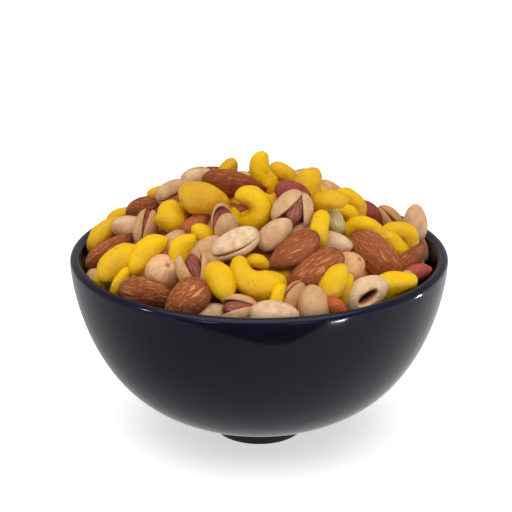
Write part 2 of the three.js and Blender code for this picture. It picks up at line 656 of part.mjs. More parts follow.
const bowl = new THREE.Mesh(bowlGeometry(), glaze);
bowl.name = 'bowl';

const heap = new THREE.Mesh(heapGeometry(), nutSkins);
heap.name = 'nut_heap';

const model = new THREE.Group();
model.add(bowl, heap);

export default model;
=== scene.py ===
"""A dark glazed bowl heaped with mixed nuts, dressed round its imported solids.

Places are worked out in millimetres and meshes are made in metres. +Z is up, the front faces
-Y, and the origin is the middle of the bowl's foot.
"""

import functools
import math

import bpy
import numpy as np
from bpy.props import FloatProperty, FloatVectorProperty, IntProperty, PointerProperty
from bpy.types import Operator, Panel, PropertyGroup
from mathutils import Matrix, Vector


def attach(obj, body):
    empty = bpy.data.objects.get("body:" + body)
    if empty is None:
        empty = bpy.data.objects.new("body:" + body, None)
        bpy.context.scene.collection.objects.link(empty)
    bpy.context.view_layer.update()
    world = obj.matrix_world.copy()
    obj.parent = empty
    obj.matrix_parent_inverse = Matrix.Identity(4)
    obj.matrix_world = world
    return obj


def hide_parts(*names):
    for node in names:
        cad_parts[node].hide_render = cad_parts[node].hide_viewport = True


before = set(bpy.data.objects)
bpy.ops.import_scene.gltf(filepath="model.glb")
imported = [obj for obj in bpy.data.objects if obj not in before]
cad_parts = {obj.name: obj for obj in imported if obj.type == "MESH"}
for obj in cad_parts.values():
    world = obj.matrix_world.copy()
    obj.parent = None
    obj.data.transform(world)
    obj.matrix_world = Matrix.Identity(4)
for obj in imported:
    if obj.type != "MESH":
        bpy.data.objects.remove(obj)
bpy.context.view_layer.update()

bl_info = {
    "name": "Bowl of Mixed Nuts",
    "version": (1, 0, 0),
    "blender": (4, 5, 0),
    "location": "3D View > Sidebar > Nuts",
    "description": "Makes a glazed bowl heaped with almonds, cashews, pistachios and other nuts",
    "category": "Object",
}

MM = 0.001

# ---- The bowl, in millimetres ----

RIM_RADIUS = 70.0
RIM_HEIGHT = 72.5
LIP_THICK = 4.0
LIP_RISE = 1.8
WALL_DEPTH = 62.3
HOLLOW_DEPTH = 57.5
WALL_FULLNESS = 3.2
WALL_DROP = 1.65
FOOT_RADIUS = 17.0
FOOT_RING_WIDTH = 3.4
FOOT_RECESS = 7.0
FOOT_CHAMFER = 0.9
FOOT_INNER_CHAMFER = 0.4
FOOT_ROUNDING = 0.25
WALL_STEPS = 56
LIP_STEPS = 14
WIDEST_HEIGHT = RIM_HEIGHT - LIP_RISE
HOLLOW_RADIUS = RIM_RADIUS - LIP_THICK

# ---- The heap ----

MOUND_RADIUS = 58.0        # the dome on which the outer nuts are centred
MOUND_RISE = 32.0
MOUND_EDGE_BELOW_RIM = 4.0
MOUND_FALL = MOUND_RISE / MOUND_RADIUS ** 2
BED_BELOW_MOUND = 5.0      # the bed that the nuts are lifted out of as they settle
BED_EDGE_BELOW_RIM = 12.0
# The core's near-black colour is painted shade for the gaps between the nuts.
DEEP_CORE_BELOW = 15.0     # the dark core that shows between the nuts
DEEP_CORE_EDGE = 20.0
CORE_STEPS = 24
CORE_SIDES = 96
TOUCH_GAP = 0.3

# Each kind's usual length in millimetres, and how many of 22 loose nuts are of that kind.
KINDS = {
    "almond": (24.0, 5),
    "cashew": (20.5, 8),
    "pistachio": (18.5, 7),
    "peanut": (13.5, 1),
    "hazelnut": (13.5, 1),
}

# ---- The photograph's view, whose pixels place the front nuts ----

VIEW_DISTANCE = 600.0
VIEW_ELEVATION = math.radians(20.04)
VIEW_FOCAL = 1611.0
VIEW_SIZE = 512
VIEW_AIM = np.array([-1.16, 0.0, RIM_HEIGHT - 2.73])
VIEW_RIGHT = np.array([1.0, 0.0, 0.0])
VIEW_UP = np.array([0.0, math.sin(VIEW_ELEVATION), math.cos(VIEW_ELEVATION)])
VIEW_TOWARD = np.array([0.0, -math.cos(VIEW_ELEVATION), math.sin(VIEW_ELEVATION)])
VIEW_EYE = VIEW_AIM + VIEW_DISTANCE * VIEW_TOWARD
VIEW_AXES = np.stack([VIEW_RIGHT, VIEW_UP, VIEW_TOWARD], axis=1)
SENSOR_WIDTH = 36.0

# The nuts that show from the front. u and v are the nut's middle in the photograph, long its
# length, turn the way its far tip points, in degrees from the right; tip lifts that tip
# towards the eye, roll turns it on its length, and deep sets it back from the mound's face.
# fat is its girth's share of the usual, bend a cashew's form, gap the angle that a
# pistachio's shell stands open, hollow one without a kernel, and tone how light the nut is,
# from 0 to 1: partly its own colour, and partly painted light and shade set nut by nut.
FRONT_NUTS = {
    "almond": [
        dict(u=377, v=258, long=25.5, turn=-41, roll=18, deep=-1, tone=0.7),
        dict(u=314, v=272, long=23.5, turn=212, roll=28, deep=-2, tone=0.8),
        dict(u=293, v=251, long=21, turn=212, roll=35, tone=0.6),
        dict(u=149, v=293, long=21, turn=-10, roll=32, tone=1),
        dict(u=186, v=301, long=19, turn=218, tip=-15, roll=8, fat=1.25, deep=-1, tone=1),
        dict(u=235, v=184, long=24, turn=-9, roll=68, tone=0.4),
        dict(u=112, v=251, long=23, turn=37, roll=60, tone=0.8),
        dict(u=149, v=207, long=18, turn=20, roll=45, fat=1.1, deep=1, tone=0.7),
        dict(u=410, v=263, long=18, turn=52, roll=40, deep=2, tone=0.5),
        dict(u=213, v=176, long=18, turn=8, roll=60, deep=5, tone=0.3),
    ],
    "cashew": [
        dict(u=204, v=205, long=22, turn=-14, roll=20, fat=0.95, deep=1, bend=5, tone=0),
        dict(u=252, v=209, long=17, turn=-84, roll=10, fat=1.2, deep=-1, bend=0, tone=0.7),
        dict(u=167, v=219, long=19.5, turn=-67, tip=40, roll=15, deep=-3, bend=4, tone=0.6),
        dict(u=256, v=276, long=21.5, turn=154, roll=8, deep=-2, bend=3, tone=0.65),
        dict(u=219, v=285, long=14.8, turn=-62, tip=35, roll=50, fat=1.55, bend=2, tone=0.7),
        dict(u=118, v=268, long=21, turn=37, roll=35, fat=1.05, deep=-2, bend=2, tone=0.5),
        dict(u=108, v=237, long=20, turn=50, roll=45, fat=0.9, deep=2, bend=2, tone=0.4),
        dict(u=267, v=172, long=18, turn=108, tip=10, roll=20, deep=-1, bend=2, tone=0.9),
        dict(u=283, v=177, long=13, turn=-30, roll=40, fat=1.2, deep=4, bend=2, tone=0.3),
        dict(u=230, v=170, long=14, turn=70, tip=55, roll=60, fat=1.2, deep=3, bend=2, tone=0.3),
        dict(u=312, v=192, long=19, turn=80, roll=40, fat=1.3, deep=1, bend=2, tone=0.3),
        dict(u=329, v=203, long=13.5, turn=10, tip=20, roll=50, fat=1.4, bend=1, tone=0.35),
        dict(u=349, v=207, long=16.5, turn=-42, roll=15, fat=1.1, deep=2, bend=1, tone=0.55),
        dict(u=321, v=229, long=15, turn=82, roll=60, fat=1.1, deep=1, bend=2, tone=0.8),
        dict(u=344, v=218, long=12, turn=-30, roll=30, fat=1.2, deep=2, bend=0, tone=0.9),
        dict(u=364, v=233, long=18, turn=-18, roll=20, deep=2, bend=1, tone=0.75),
        dict(u=399, v=240, long=15, turn=-12, roll=15, fat=1.3, deep=-2, bend=0, tone=0.7),
        dict(u=392, v=249, long=18, turn=-42, roll=50, deep=4, bend=2, tone=0.6),
        dict(u=410, v=292, long=22, turn=17, roll=50, fat=0.8, deep=-2, bend=5, tone=1),
        dict(u=337, v=283, long=17, turn=64, roll=40, fat=0.95, deep=-3, bend=5, tone=0.6),
        dict(u=348, v=290, long=13, turn=76, roll=60, fat=1.1, deep=0, bend=2, tone=0.6),
        dict(u=258, v=264, long=9.5, turn=-10, roll=40, fat=1.2, deep=2, bend=2, tone=0.6),
        dict(u=280, v=299, long=13, turn=80, roll=60, fat=0.9, bend=2, tone=0.9),
        dict(u=203, v=232, long=11, turn=150, tip=40, roll=60, fat=1.35, deep=2, bend=2,
             tone=0.75),
        dict(u=109, v=282, long=16, turn=12, roll=60, deep=3, bend=2, tone=0.6),
        dict(u=122, v=220, long=14, turn=30, roll=40, deep=5, bend=2, tone=0.4),
        dict(u=163, v=196, long=13, turn=10, roll=60, deep=6, bend=2, tone=0.3),
    ],
    "split": [
        dict(u=149, v=256, long=17.5, turn=47, fat=1.2, deep=-2, tone=1),
        dict(u=187, v=252, long=13.5, turn=70, roll=5, fat=1.5, deep=-2, tone=1),
        dict(u=121, v=282, long=14.5, turn=60, roll=50, fat=1.1, deep=-7, tone=0.9),
    ],
    "pistachio": [
        dict(u=235, v=244, long=18.4, turn=206, roll=58, fat=0.92, deep=-3, gap=5, tone=1),
        dict(u=275, v=234, long=15.5, turn=40, tip=20, roll=22, fat=1.05, deep=-1, tone=0.55),
        dict(u=294, v=211, long=14.5, turn=-112, roll=80, fat=1.15, deep=-2, gap=50, tone=0.4),
        dict(u=224, v=226, long=15.5, turn=95, tip=35, roll=15, gap=26, tone=0.3),
        dict(u=207, v=252, long=16.5, turn=205, roll=20, deep=1, gap=6, tone=0.35),
        dict(u=204, v=264, long=15, turn=200, roll=10, deep=4, gap=6, tone=0.1),
        dict(u=170, v=247, long=15, turn=48, roll=10, deep=4, tone=0.25),
        dict(u=315, v=306, long=15, turn=97, roll=18, fat=1.28, tone=0.3),
        dict(u=275, v=317, long=17.5, turn=-4, roll=12, gap=4, tone=0.65),
        dict(u=239, v=309, long=13.5, turn=180, roll=118, gap=30, tone=0.3),
        dict(u=213, v=314, long=14, turn=10, roll=10, deep=3, tone=0.5),
        dict(u=291, v=300, long=14, turn=60, roll=40, deep=3, gap=6, tone=0),
        dict(u=363, v=294, long=17.5, turn=35, roll=102, fat=1.25, deep=-1, hollow=1, tone=0.8),
        dict(u=415, v=224, long=15, turn=88, roll=10, fat=1.1, deep=2, tone=0.5),
        dict(u=390, v=221, long=14, turn=-50, roll=80, deep=1, gap=10, tone=0),
        dict(u=421, v=245, long=14, turn=-60, roll=30, tone=0.3),
        dict(u=195, v=178, long=12, turn=20, roll=30, fat=1.1, deep=3, gap=6, tone=0.7),
        dict(u=173, v=193, long=14, turn=22, roll=-60, deep=2, gap=18, tone=0.2),
        dict(u=132, v=229, long=16, turn=168, roll=25, deep=1, gap=8, tone=0.45),
        dict(u=146, v=229, long=15, turn=80, roll=80, deep=1, gap=9, tone=0.1),
        dict(u=195, v=272, long=14.5, turn=100, roll=-80, gap=34, tone=0.2),
        dict(u=297, v=180, long=13, turn=30, roll=20, deep=5, tone=0.2),
        dict(u=331, v=193, long=13, turn=-40, roll=20, deep=6, tone=0.2),
        dict(u=333, v=243, long=14, turn=-12, roll=20, deep=4, tone=0.9),
        dict(u=303, v=233, long=14, turn=20, roll=10, deep=5, tone=0.3),
        dict(u=99, v=286, long=15, turn=-45, roll=20, deep=3, tone=0.2),
        dict(u=90, v=260, long=13, turn=80, roll=20, deep=3, tone=0.1),
    ],
    "hazelnut": [
        dict(u=163, v=272, long=13.6, turn=50, tip=60, deep=-1, tone=0.9),
        dict(u=348, v=269, long=12.5, turn=40, tip=30, deep=2, tone=0.3),
    ],
    "peanut": [
        dict(u=293, v=193, long=13.5, turn=-12, deep=1, tone=0.3),
        dict(u=370, v=213, long=12, turn=-45, tone=0.2),
        dict(u=416, v=272, long=11, turn=14, deep=-2, tone=0.8),
    ],
    "kernel": [
        dict(u=335, v=221, long=11, turn=-60, fat=1.1, deep=-1, tone=1),
        dict(u=404, v=276, long=7, turn=20, deep=1, tone=1),
        dict(u=336, v=308, long=9.5, turn=-45, roll=20, fat=1.2, deep=-2, tone=0),
        dict(u=194, v=225, long=11.5, turn=40, roll=30, fat=1.1, deep=4, tone=0.1),
    ],
}

# ---- The loose nuts over the rest of the mound, and those under them ----

SPIRAL_SPOTS = 420
SPIRAL_RADIUS = 60.0
GOLDEN_ANGLE = math.radians(137.508)
SPIRAL_START_Y = -40.0
NUT_SPACING = 11.5
CREST_SPACING = 10.5
CREST_BACK_Y = 28.0
LOOSE_SINK = 1.0
CREST_SINK = 4.0
UNDER_SINK = 10.0
UNDER_SPACING = 11.0
BURIED_DETAIL = 0.42       # the sides of a nut in the layer under, as a share
LOOSE_TIP = 24.0           # how widely loose nuts tip and roll, in degrees
LOOSE_ROLL = 70.0
LOOSE_ROLL_BACK = 0.3      # the share of that roll which turns them back
LOOSE_GAP = 20.0           # how far a loose pistachio may gape
LOOSE_BENDS = 3            # how many of the cashews' bends loose ones have
SIZE_SPREAD = 0.2
NUT_SEED = 20311
UNDER_SEED = 7411
TONE_SEED = 5077

# ---- How the nuts settle against each other ----

SETTLE_STEPS = 80
UNDER_STEPS = 40
SETTLE_CLOSENESS = 0.94
SIDE_SLIP = 0.15
DEPTH_SLACK = 0.9
DEPTH_PRESS = 0.08
BED_SHARE = 0.5
BED_LIFT = 0.5
LIFT_LIMIT = 2.0
LEAST_FACING = 0.35
HOME_PULL = 0.08
WALL_PULL = 0.8
CROWD_POWER = 0.7

# Balls that stand for each kind, in its own length: along, aside, up, radius.
BALLS = {
    "almond": [
        (-0.3, 0, 0, 0.17), (-0.05, 0.09, 0, 0.165), (-0.05, -0.09, 0, 0.165),
        (0.16, 0.05, 0, 0.15), (0.16, -0.05, 0, 0.15), (0.34, 0, 0, 0.1),
    ],
    "split": [
        (-0.3, 0, 0, 0.14), (-0.1, 0.04, 0, 0.14), (0.1, 0.04, 0, 0.13), (0.3, 0, 0, 0.12),
    ],
    "pistachio": [(-0.2, 0, 0, 0.24), (0.02, 0, 0, 0.27), (0.22, 0, 0, 0.22)],
    "hazelnut": [(0, 0, 0, 0.47)],
    "peanut": [(-0.17, 0, 0, 0.31), (0.17, 0, 0, 0.31)],
    "kernel": [(-0.2, 0, 0, 0.22), (0.2, 0, 0, 0.22)],
}

# A cashew is bent round an arc: half its angle in degrees, the radius of its spine and of
# its body, how far the arc's middle lies below the nut's, all in its own length, and how
# much thinner it is at its far tip.
CASHEW_BENDS = [
    (136, 0.285, 0.19, 0.08, 0.12),
    (88, 0.345, 0.185, 0.18, 0.14),
    (64, 0.41, 0.215, 0.27, 0.14),
    (84, 0.35, 0.235, 0.2, 0.32),
    (60, 0.3, 0.3, 0.2, -0.35),
    (38, 0.62, 0.265, 0.53, 0.3),
]
CASHEW_BALLS = [(-0.8, 0.8), (-0.42, 0.97), (0, 1), (0.42, 0.97), (0.8, 0.8)]

# ---- The nuts' forms, in their own length ----

CASHEW_BLUNTNESS = 0.43    # a power: the smaller, the blunter its tips
CASHEW_SEAM_WIDTH = 0.13
CASHEW_SEAM_DEPTH = 0.035  # of its girth, and so is the crease's
CASHEW_CREASE_DEPTH = 0.12
CASHEW_FLATNESS = 0.94

# The other forms start as ovals: half length, half width, half thickness, and how much the
# nut narrows towards its far tip.
OVALS = {
    "almond": (0.5, 0.262, 0.178, 0),
    "split": (0.5, 0.2, 0.17, 0),
    "hazelnut": (0.5, 0.47, 0.47, 0),
    "peanut": (0.48, 0.3, 0.3, 0.1),
    "kernel": (0.5, 0.27, 0.25, 0.12),
    "shell": (0.5, 0.285, 0.275, 0.1),
}
ALMOND_POINT = 0.4         # where it starts to draw in to its point
ALMOND_SLOPES = (0.3, 0.06, 0.22)
SPLIT_BOW = 0.1
SPLIT_CUT = 7 / 17         # the cut face's thickness, of the back's
PUCKER_DEPTH = 0.03        # the hazelnut's dimple and the shoulder round it
PUCKER_WIDTH = 0.2
SHOULDER_PLACE = 0.42
NIB_LENGTH = 0.03          # the peanut's
NIB_WIDTH = 0.06

SHELL_HINGE = -0.42        # where a pistachio's half shells turn, along its length
SHELL_THICK = 0.05
SHELL_GIRTH = 0.28         # its usual half girth
EDGE_RISE = 0.0075         # how high the rims of a half shell's edge stand
EDGE_TURN = 0.06           # and how far they lie round from its middle, in radians
KERNEL_SHARE = 0.88        # a kernel's size, of its nut's

# The pit in an empty shell, in half lengths and half girths of the shell.
PIT_LENGTH = 0.5
PIT_WIDTH = 0.36
PIT_EDGE = 0.3
PIT_DEPTH = 0.8

# ---- What the looks share ----

# The nuts along the wall sit lower, so the painted shade between the nuts starts deeper there:
# over squares of the distance from the axis, and how far, in metres.
WALL_SAG = (0.0024, 0.0042, 0.0, 0.0058)

# How fast each colour fades in the painted shade of the gaps, as a power.
GAP_POWERS = {"Red": 1.0, "Green": 1.25, "Blue": 1.5}

TONE_SHIFT = 60.0          # how far a nut's tone moves its noise
FOLD_GAIN = 5.0
BLOTCH_GAIN = 3.0

LIP_TINT = (4.5, 0.8)      # millimetres under the rim where the lip's tint starts, and ends
BARE_FOOT = (0.0006, 0.0002)   # metres up the foot where the glaze is full, and gone


# ---- Where the nuts lie ----

def wall_radius(depth, radius, full_depth):
    """Radius of the bowl's curve at a depth below its widest part."""
    drop = np.clip(depth / full_depth, 0, 1)
    return radius * (1 - drop ** WALL_DROP) ** (1 / WALL_FULLNESS)


def wall_depth(at_radius, radius, full_depth):
    """Depth of the bowl's curve at a radius."""
    return full_depth * (1 - (at_radius / radius) ** WALL_FULLNESS) ** (1 / WALL_DROP)


def mound_height(radius):
    return RIM_HEIGHT - MOUND_EDGE_BELOW_RIM + MOUND_RISE - MOUND_FALL * radius ** 2


def mound_normals(places):
    """Outward directions of the mound's face, with an upward part of 1."""
    level = 2 * MOUND_FALL * places[..., :2]
    return np.concatenate([level, np.ones(places.shape[:-1] + (1,))], axis=-1)


def turn_about(axis, angle):
    """A 3 by 3 turn about one of the axes, in degrees."""
    return np.array(Matrix.Rotation(math.radians(angle), 3, axis))


def nut_axes(axes, turn, tip, roll):
    return axes @ turn_about("Z", turn) @ turn_about("Y", -tip) @ turn_about("X", roll)


def place_on_mound(sight, deep):
    """Where a sight line meets the mound, or passes nearest to it, and deep further on."""
    square = MOUND_FALL * (sight[0] ** 2 + sight[1] ** 2)
    linear = sight[2] + 2 * MOUND_FALL * (VIEW_EYE[0] * sight[0] + VIEW_EYE[1] * sight[1])
    offset = VIEW_EYE[2] - mound_height(0) + MOUND_FALL * (VIEW_EYE[0] ** 2 + VIEW_EYE[1] ** 2)
    root = math.sqrt(max(linear ** 2 - 4 * square * offset, 0))
    return VIEW_EYE + ((-linear - root) / (2 * square) + deep) * sight


def front_nuts():
    nuts = []
    for kind, rows in FRONT_NUTS.items():
        for row in rows:
            across = np.array([row["u"] - VIEW_SIZE / 2, VIEW_SIZE / 2 - row["v"], -VIEW_FOCAL])
            sight = VIEW_AXES @ (across / np.linalg.norm(across))
            nuts.append({
                "kind": kind,
                "long": row["long"],
                "fat": row.get("fat", 1),
                "bend": row.get("bend", 2),
                "gap": row.get("gap", 0),
                "hollow": row.get("hollow", 0),
                "tone": row["tone"],
                "depth": sight,
                "place": place_on_mound(sight, row.get("deep", 0)),
                "axes": nut_axes(VIEW_AXES, row["turn"], row.get("tip", 0), row.get("roll", 0)),
            })
    return nuts


def number_stream(seed):
    """Evenly mixed numbers from 0 to 1, the same in every run."""
    factor, modulus = 16807, 2147483647
    while True:
        seed = seed * factor % modulus
        yield seed / modulus


def mound_axes(place):
    """The mound's own axes at a place: right along the level line, toward outwards."""
    toward = mound_normals(place)
    toward /= np.linalg.norm(toward)
    right = np.cross([0, 1, 0], toward)
    right /= np.linalg.norm(right)
    return np.stack([right, np.cross(toward, right), toward], axis=1)


def spiral_nuts(seed, others, start_y, spacing_at, sink_at):
    """Nuts at the free places of a golden-angle spiral, with kinds and turns drawn."""
    draw = number_stream(seed)
    kinds = [kind for kind, (_, share) in KINDS.items() for _ in range(share)]
    taken = [nut["place"] for nut in others]
    found = []
    for spot in range(SPIRAL_SPOTS):
        radius = SPIRAL_RADIUS * math.sqrt((spot + 0.5) / SPIRAL_SPOTS)
        angle = spot * GOLDEN_ANGLE
        place = np.array([
            radius * math.cos(angle), radius * math.sin(angle), mound_height(radius)])
        near = min((np.linalg.norm(other - place) for other in taken), default=math.inf)
        if place[1] < start_y or near < spacing_at(place):
            continue
        axes = mound_axes(place)
        kind = kinds[int(next(draw) * len(kinds))]
        turn, tip = 360 * next(draw), LOOSE_TIP * (next(draw) - 0.5)
        roll = LOOSE_ROLL * (next(draw) - LOOSE_ROLL_BACK)
        long = KINDS[kind][0] * (1 + SIZE_SPREAD * (next(draw) - 0.5))
        form = next(draw)
        place = place - sink_at(place) * axes[:, 2]
        taken.append(place)
        found.append({
            "kind": kind,
            "long": long,
            "place": place,
            "fat": 1,
            "bend": int(form * LOOSE_BENDS),
            "gap": LOOSE_GAP * form ** 2,
            "hollow": 0,
            "tone": None,
            "depth": -axes[:, 2],
            "axes": nut_axes(axes, turn, tip, roll),
        })
    return found


def loose_nuts(others):
    """The outer nuts that no row places, closer and deeper where they may show."""
    def on_crest(place):
        return place[1] < CREST_BACK_Y

    return spiral_nuts(
        NUT_SEED, others, SPIRAL_START_Y,
        lambda place: CREST_SPACING if on_crest(place) else NUT_SPACING,
        lambda place: CREST_SINK if on_crest(place) else LOOSE_SINK,
    )


def under_nuts():
    """The nuts of the layer under the outer ones."""
    return spiral_nuts(
        UNDER_SEED, [], -SPIRAL_RADIUS, lambda place: UNDER_SPACING, lambda place: UNDER_SINK)


def balls_of(nut):
    """The balls that stand for a nut, in its own length."""
    fat = nut["fat"]
    if nut["kind"] != "cashew":
        return [(x, y * fat, z * fat, radius * fat) for x, y, z, radius in BALLS[nut["kind"]]]
    half, spine, thick, drop, taper = CASHEW_BENDS[nut["bend"]]
    balls = []
    for along, share in CASHEW_BALLS:
        angle = math.radians(half * along)
        radius = thick * fat * share * (1 - taper * along)
        balls.append((spine * math.sin(angle), spine * math.cos(angle) - drop, 0, radius))
    return balls


def settle(nuts, fixed, steps, bed_below):
    """Moves the nuts apart, mostly along their own depth, until they only touch. The first
    few are fixed: these stay put, and the others rise no higher than they start."""
    rows = [(i, nut["axes"] @ np.array(ball[:3]) * nut["long"], ball[3] * nut["long"])
            for i, nut in enumerate(nuts) for ball in balls_of(nut)]
    owner = np.array([row[0] for row in rows])
    offset = np.array([row[1] for row in rows])
    radius = np.array([row[2] for row in rows])
    place = np.array([nut["place"] for nut in nuts])
    depth = np.array([nut["depth"] for nut in nuts])
    homes = place.copy()
    reach = (radius[:, None] + radius[None, :]) * SETTLE_CLOSENESS
    reach[owner[:, None] == owner[None, :]] = -math.inf
    share = np.where(owner < fixed, 1.0, 0.5)[None, :]

    def gathered(values, counted):
        total = np.zeros((len(nuts),) + values.shape[1:])
        np.add.at(total, owner, values)
        count = np.bincount(owner, weights=counted, minlength=len(nuts))
        return total, np.maximum(count, 1).reshape((-1,) + (1,) * (values.ndim - 1))

    def along(vectors, lines):
        return (vectors * lines).sum(1, keepdims=True) * lines

    for _ in range(steps):
        middle = place[owner] + offset
        apart = middle[:, None, :] - middle[None, :, :]
        distance = np.linalg.norm(apart, axis=2) + 1e-9
        overlap = np.maximum(reach - distance, 0)
        pushes = ((share * overlap / distance)[:, :, None] * apart).sum(1)
        push, crowd = gathered(pushes, (overlap > 0).sum(1))
        push /= crowd ** CROWD_POWER

        out = np.hypot(middle[:, 0], middle[:, 1]) + 1e-9
        room = wall_radius(WIDEST_HEIGHT - middle[:, 2], HOLLOW_RADIUS, HOLLOW_DEPTH) - TOUCH_GAP
        over = np.maximum(out + radius - room, 0)
        inward = -(over / out)[:, None] * middle * np.array([1.0, 1.0, 0.0])
        wall, touching = gathered(inward, over > 0)

        normal = mound_normals(middle)
        steep = np.linalg.norm(normal, axis=1)
        bed = np.maximum(mound_height(out) - bed_below, RIM_HEIGHT - BED_EDGE_BELOW_RIM)
        sunk = np.maximum(radius * BED_SHARE - (middle[:, 2] - bed) / steep, 0)
        facing = np.abs((normal * depth[owner]).sum(1)) / steep
        rises = np.minimum(sunk / np.maximum(facing, LEAST_FACING), LIFT_LIMIT)
        rise, bedded = gathered(rises[:, None], sunk > 0)

        deeper = along(push, depth)
        home = homes - place
        home -= DEPTH_SLACK * along(home, depth)
        press = -DEPTH_PRESS * np.sign((mound_normals(place) * depth).sum(1, keepdims=True))
        step = deeper + SIDE_SLIP * (push - deeper) + HOME_PULL * home
        step += WALL_PULL * wall / touching + (press - BED_LIFT * rise / bedded) * depth
        place[fixed:] += step[fixed:]
        if fixed:
            risen = np.maximum(((homes - place) * depth).sum(1, keepdims=True), 0)
            place[fixed:] += (risen * depth)[fixed:]
    for nut, settled in zip(nuts, place):
        nut["place"] = settled


@functools.lru_cache(maxsize=None)
def heap_nuts():
    """Every nut of the heap, settled: those that show from the front, the loose ones over
    the rest of the mound, and a layer under both."""
    nuts = front_nuts()
    settle(nuts, 0, SETTLE_STEPS, BED_BELOW_MOUND)
    seen = len(nuts)
    nuts += loose_nuts(nuts)
    settle(nuts, seen, SETTLE_STEPS, BED_BELOW_MOUND)
    outer = len(nuts)
    nuts += under_nuts()
    settle(nuts, outer, UNDER_STEPS, DEEP_CORE_BELOW)
    draw = number_stream(TONE_SEED)
    for index, nut in enumerate(nuts):
        nut["buried"] = int(index >= outer)
        tone = next(draw)
        nut["tone"] = tone if nut["tone"] is None else nut["tone"]
    return nuts


# ---- Mesh code ----

def unit_ball(rings, around):
    """A unit ball with its poles on X: its points, and faces that point outwards."""
    points = [(1.0, 0.0, 0.0)]
    for ring in range(1, rings):
        slope = math.pi * ring / rings
        for step in range(around):
            angle = 2 * math.pi * step / around
            points.append((
                math.cos(slope), math.sin(slope) * math.cos(angle),
                math.sin(slope) * math.sin(angle)))
    points.append((-1.0, 0.0, 0.0))
    last = len(points) - 1
    faces = []
    for step in range(around):
        after = (step + 1) % around
        faces.append((0, 1 + step, 1 + after))
        faces.append((last, last - around + after, last - around + step))
        for ring in range(rings - 2):
            near, far = 1 + ring * around, 1 + (ring + 1) * around
            faces.append((near + step, far + step, far + after, near + after))
    return np.array(points), faces


def round_direction(ball):
    """Each point's place along the nut, and its direction round it."""
    x, y, z = ball.T
    across = np.maximum(np.hypot(y, z), 1e-6)
    return np.stack([x, y / across, z / across], axis=1)


def bump_at(values, middle, width):
    """A smooth bump of height 1 at a middle value."""
    return np.exp(-((values - middle) / width) ** 2)


def cashew_form(ball, bend, fat):
    """A kidney bent round an arc, with a seam along its back and a crease in its bend."""
    half, spine, thick, drop, taper = CASHEW_BENDS[bend]
    x, y, z = ball.T
    _, back, side = round_direction(ball).T
    across = np.sqrt(np.maximum(1 - x * x, 1e-9))
    girth = thick * fat * (1 - taper * x) * (1 - np.abs(x) ** 3) ** CASHEW_BLUNTNESS / across
    seam = bump_at(side, 0, CASHEW_SEAM_WIDTH) * (1 - x ** 4)
    girth = girth * (1 - seam * np.where(back > 0, CASHEW_SEAM_DEPTH, CASHEW_CREASE_DEPTH))
    angle = np.radians(half) * x
    out = spine + y * girth
    return np.stack([
        out * np.sin(angle), out * np.cos(angle) - drop, z * girth * CASHEW_FLATNESS], axis=1)


def oval(ball, kind, taper=1.0):
    """A plain oval nut, narrower by a taper of its own."""
    long, wide, thick, narrowing = OVALS[kind]
    x, y, z = ball.T
    taper = taper * (1 - narrowing * x)
    return np.stack([long * x, wide * y * taper, thick * z * taper], axis=1)


def almond_form(ball):
    """A flat drop, broad at its near end and drawn to a point at the far one."""
    x = ball[:, 0]
    point = np.clip((x - ALMOND_POINT) / (1 - ALMOND_POINT), 0, 1)
    slope, curve, sharpness = ALMOND_SLOPES
    taper = (1 - slope * x - curve * x * x) * (1 - sharpness * point ** 2)
    return oval(ball, "almond", taper)


def split_form(ball):
    """Half of a cashew, bowed, and flatter on its cut face."""
    points = oval(ball, "split")
    points[:, 1] += SPLIT_BOW * (1 - ball[:, 0] ** 2)
    points[:, 2] *= np.where(ball[:, 2] < 0, SPLIT_CUT, 1)
    return points


def hazelnut_form(ball):
    """A round nut with a puckered dimple at its far tip."""
    x, y, z = ball.T
    across = np.hypot(y, z)
    pucker = PUCKER_DEPTH * (x > 0)
    points = oval(ball, "hazelnut")
    points[:, 0] *= 1 + pucker * bump_at(across, SHOULDER_PLACE, PUCKER_WIDTH)
    points[:, 0] -= pucker * bump_at(across, 0, PUCKER_WIDTH)
    return points


def peanut_form(ball):
    """A small oval nut with a nib at its far tip."""
    points = oval(ball, "peanut")
    points[:, 0] += NIB_LENGTH * bump_at(ball[:, 0], 1, NIB_WIDTH)
    return points


def kernel_form(ball):
    """A pistachio's kernel, long and slightly flattened."""
    return oval(ball, "kernel")


def pitted_form(ball):
    """A whole shell without its kernel: the split in its side gapes in an oval pit."""
    x, y, z = ball.T
    reach = np.hypot(x / PIT_LENGTH, z / PIT_WIDTH)
    pit = np.clip((1 - reach) / PIT_EDGE, 0, 1) * (y > 0)
    points = oval(ball, "shell")
    points[:, 1:] *= (1 - PIT_DEPTH * pit)[:, None]
    return points, pit


def half_shell(rings, around):
    """Half of a pistachio's shell, hinged at the origin: its points, faces, directions round
    the nut and, for each point, how far inside it lies, from 0 to 1."""
    turns = [
        EDGE_TURN + (math.pi - 2 * EDGE_TURN) * step / around for step in range(around + 1)]
    # Round the wall of the shell: over the outside, round one edge, back along the inside
    # in the other direction, and round the other edge.
    section = [
        *((0.0, turn) for turn in turns), (0.5, math.pi),
        *((1.0, turn) for turn in reversed(turns)), (0.5, 0.0)]
    inside, turn = np.repeat(section, rings + 1, axis=0).T
    slope = np.tile(np.pi * np.arange(rings + 1) / rings, len(section))
    ball = np.stack([
        np.cos(slope), np.sin(slope) * np.cos(turn), np.sin(slope) * np.sin(turn)], axis=1)
    points = oval(ball, "shell") * (1 - inside * SHELL_THICK / SHELL_GIRTH)[:, None]
    points[:, 2] = np.maximum(points[:, 2], np.where(inside == 0.5, 0, EDGE_RISE))
    points[:, 0] -= SHELL_HINGE
    faces = []
    for loop in range(len(section)):
        after = (loop + 1) % len(section)
        for ring in range(rings):
            near, far = loop * (rings + 1) + ring, after * (rings + 1) + ring
            faces.append((near, near + 1, far + 1, far))
    return points, faces, np.stack([ball[:, 0], np.cos(turn), np.sin(turn)], axis=1), inside


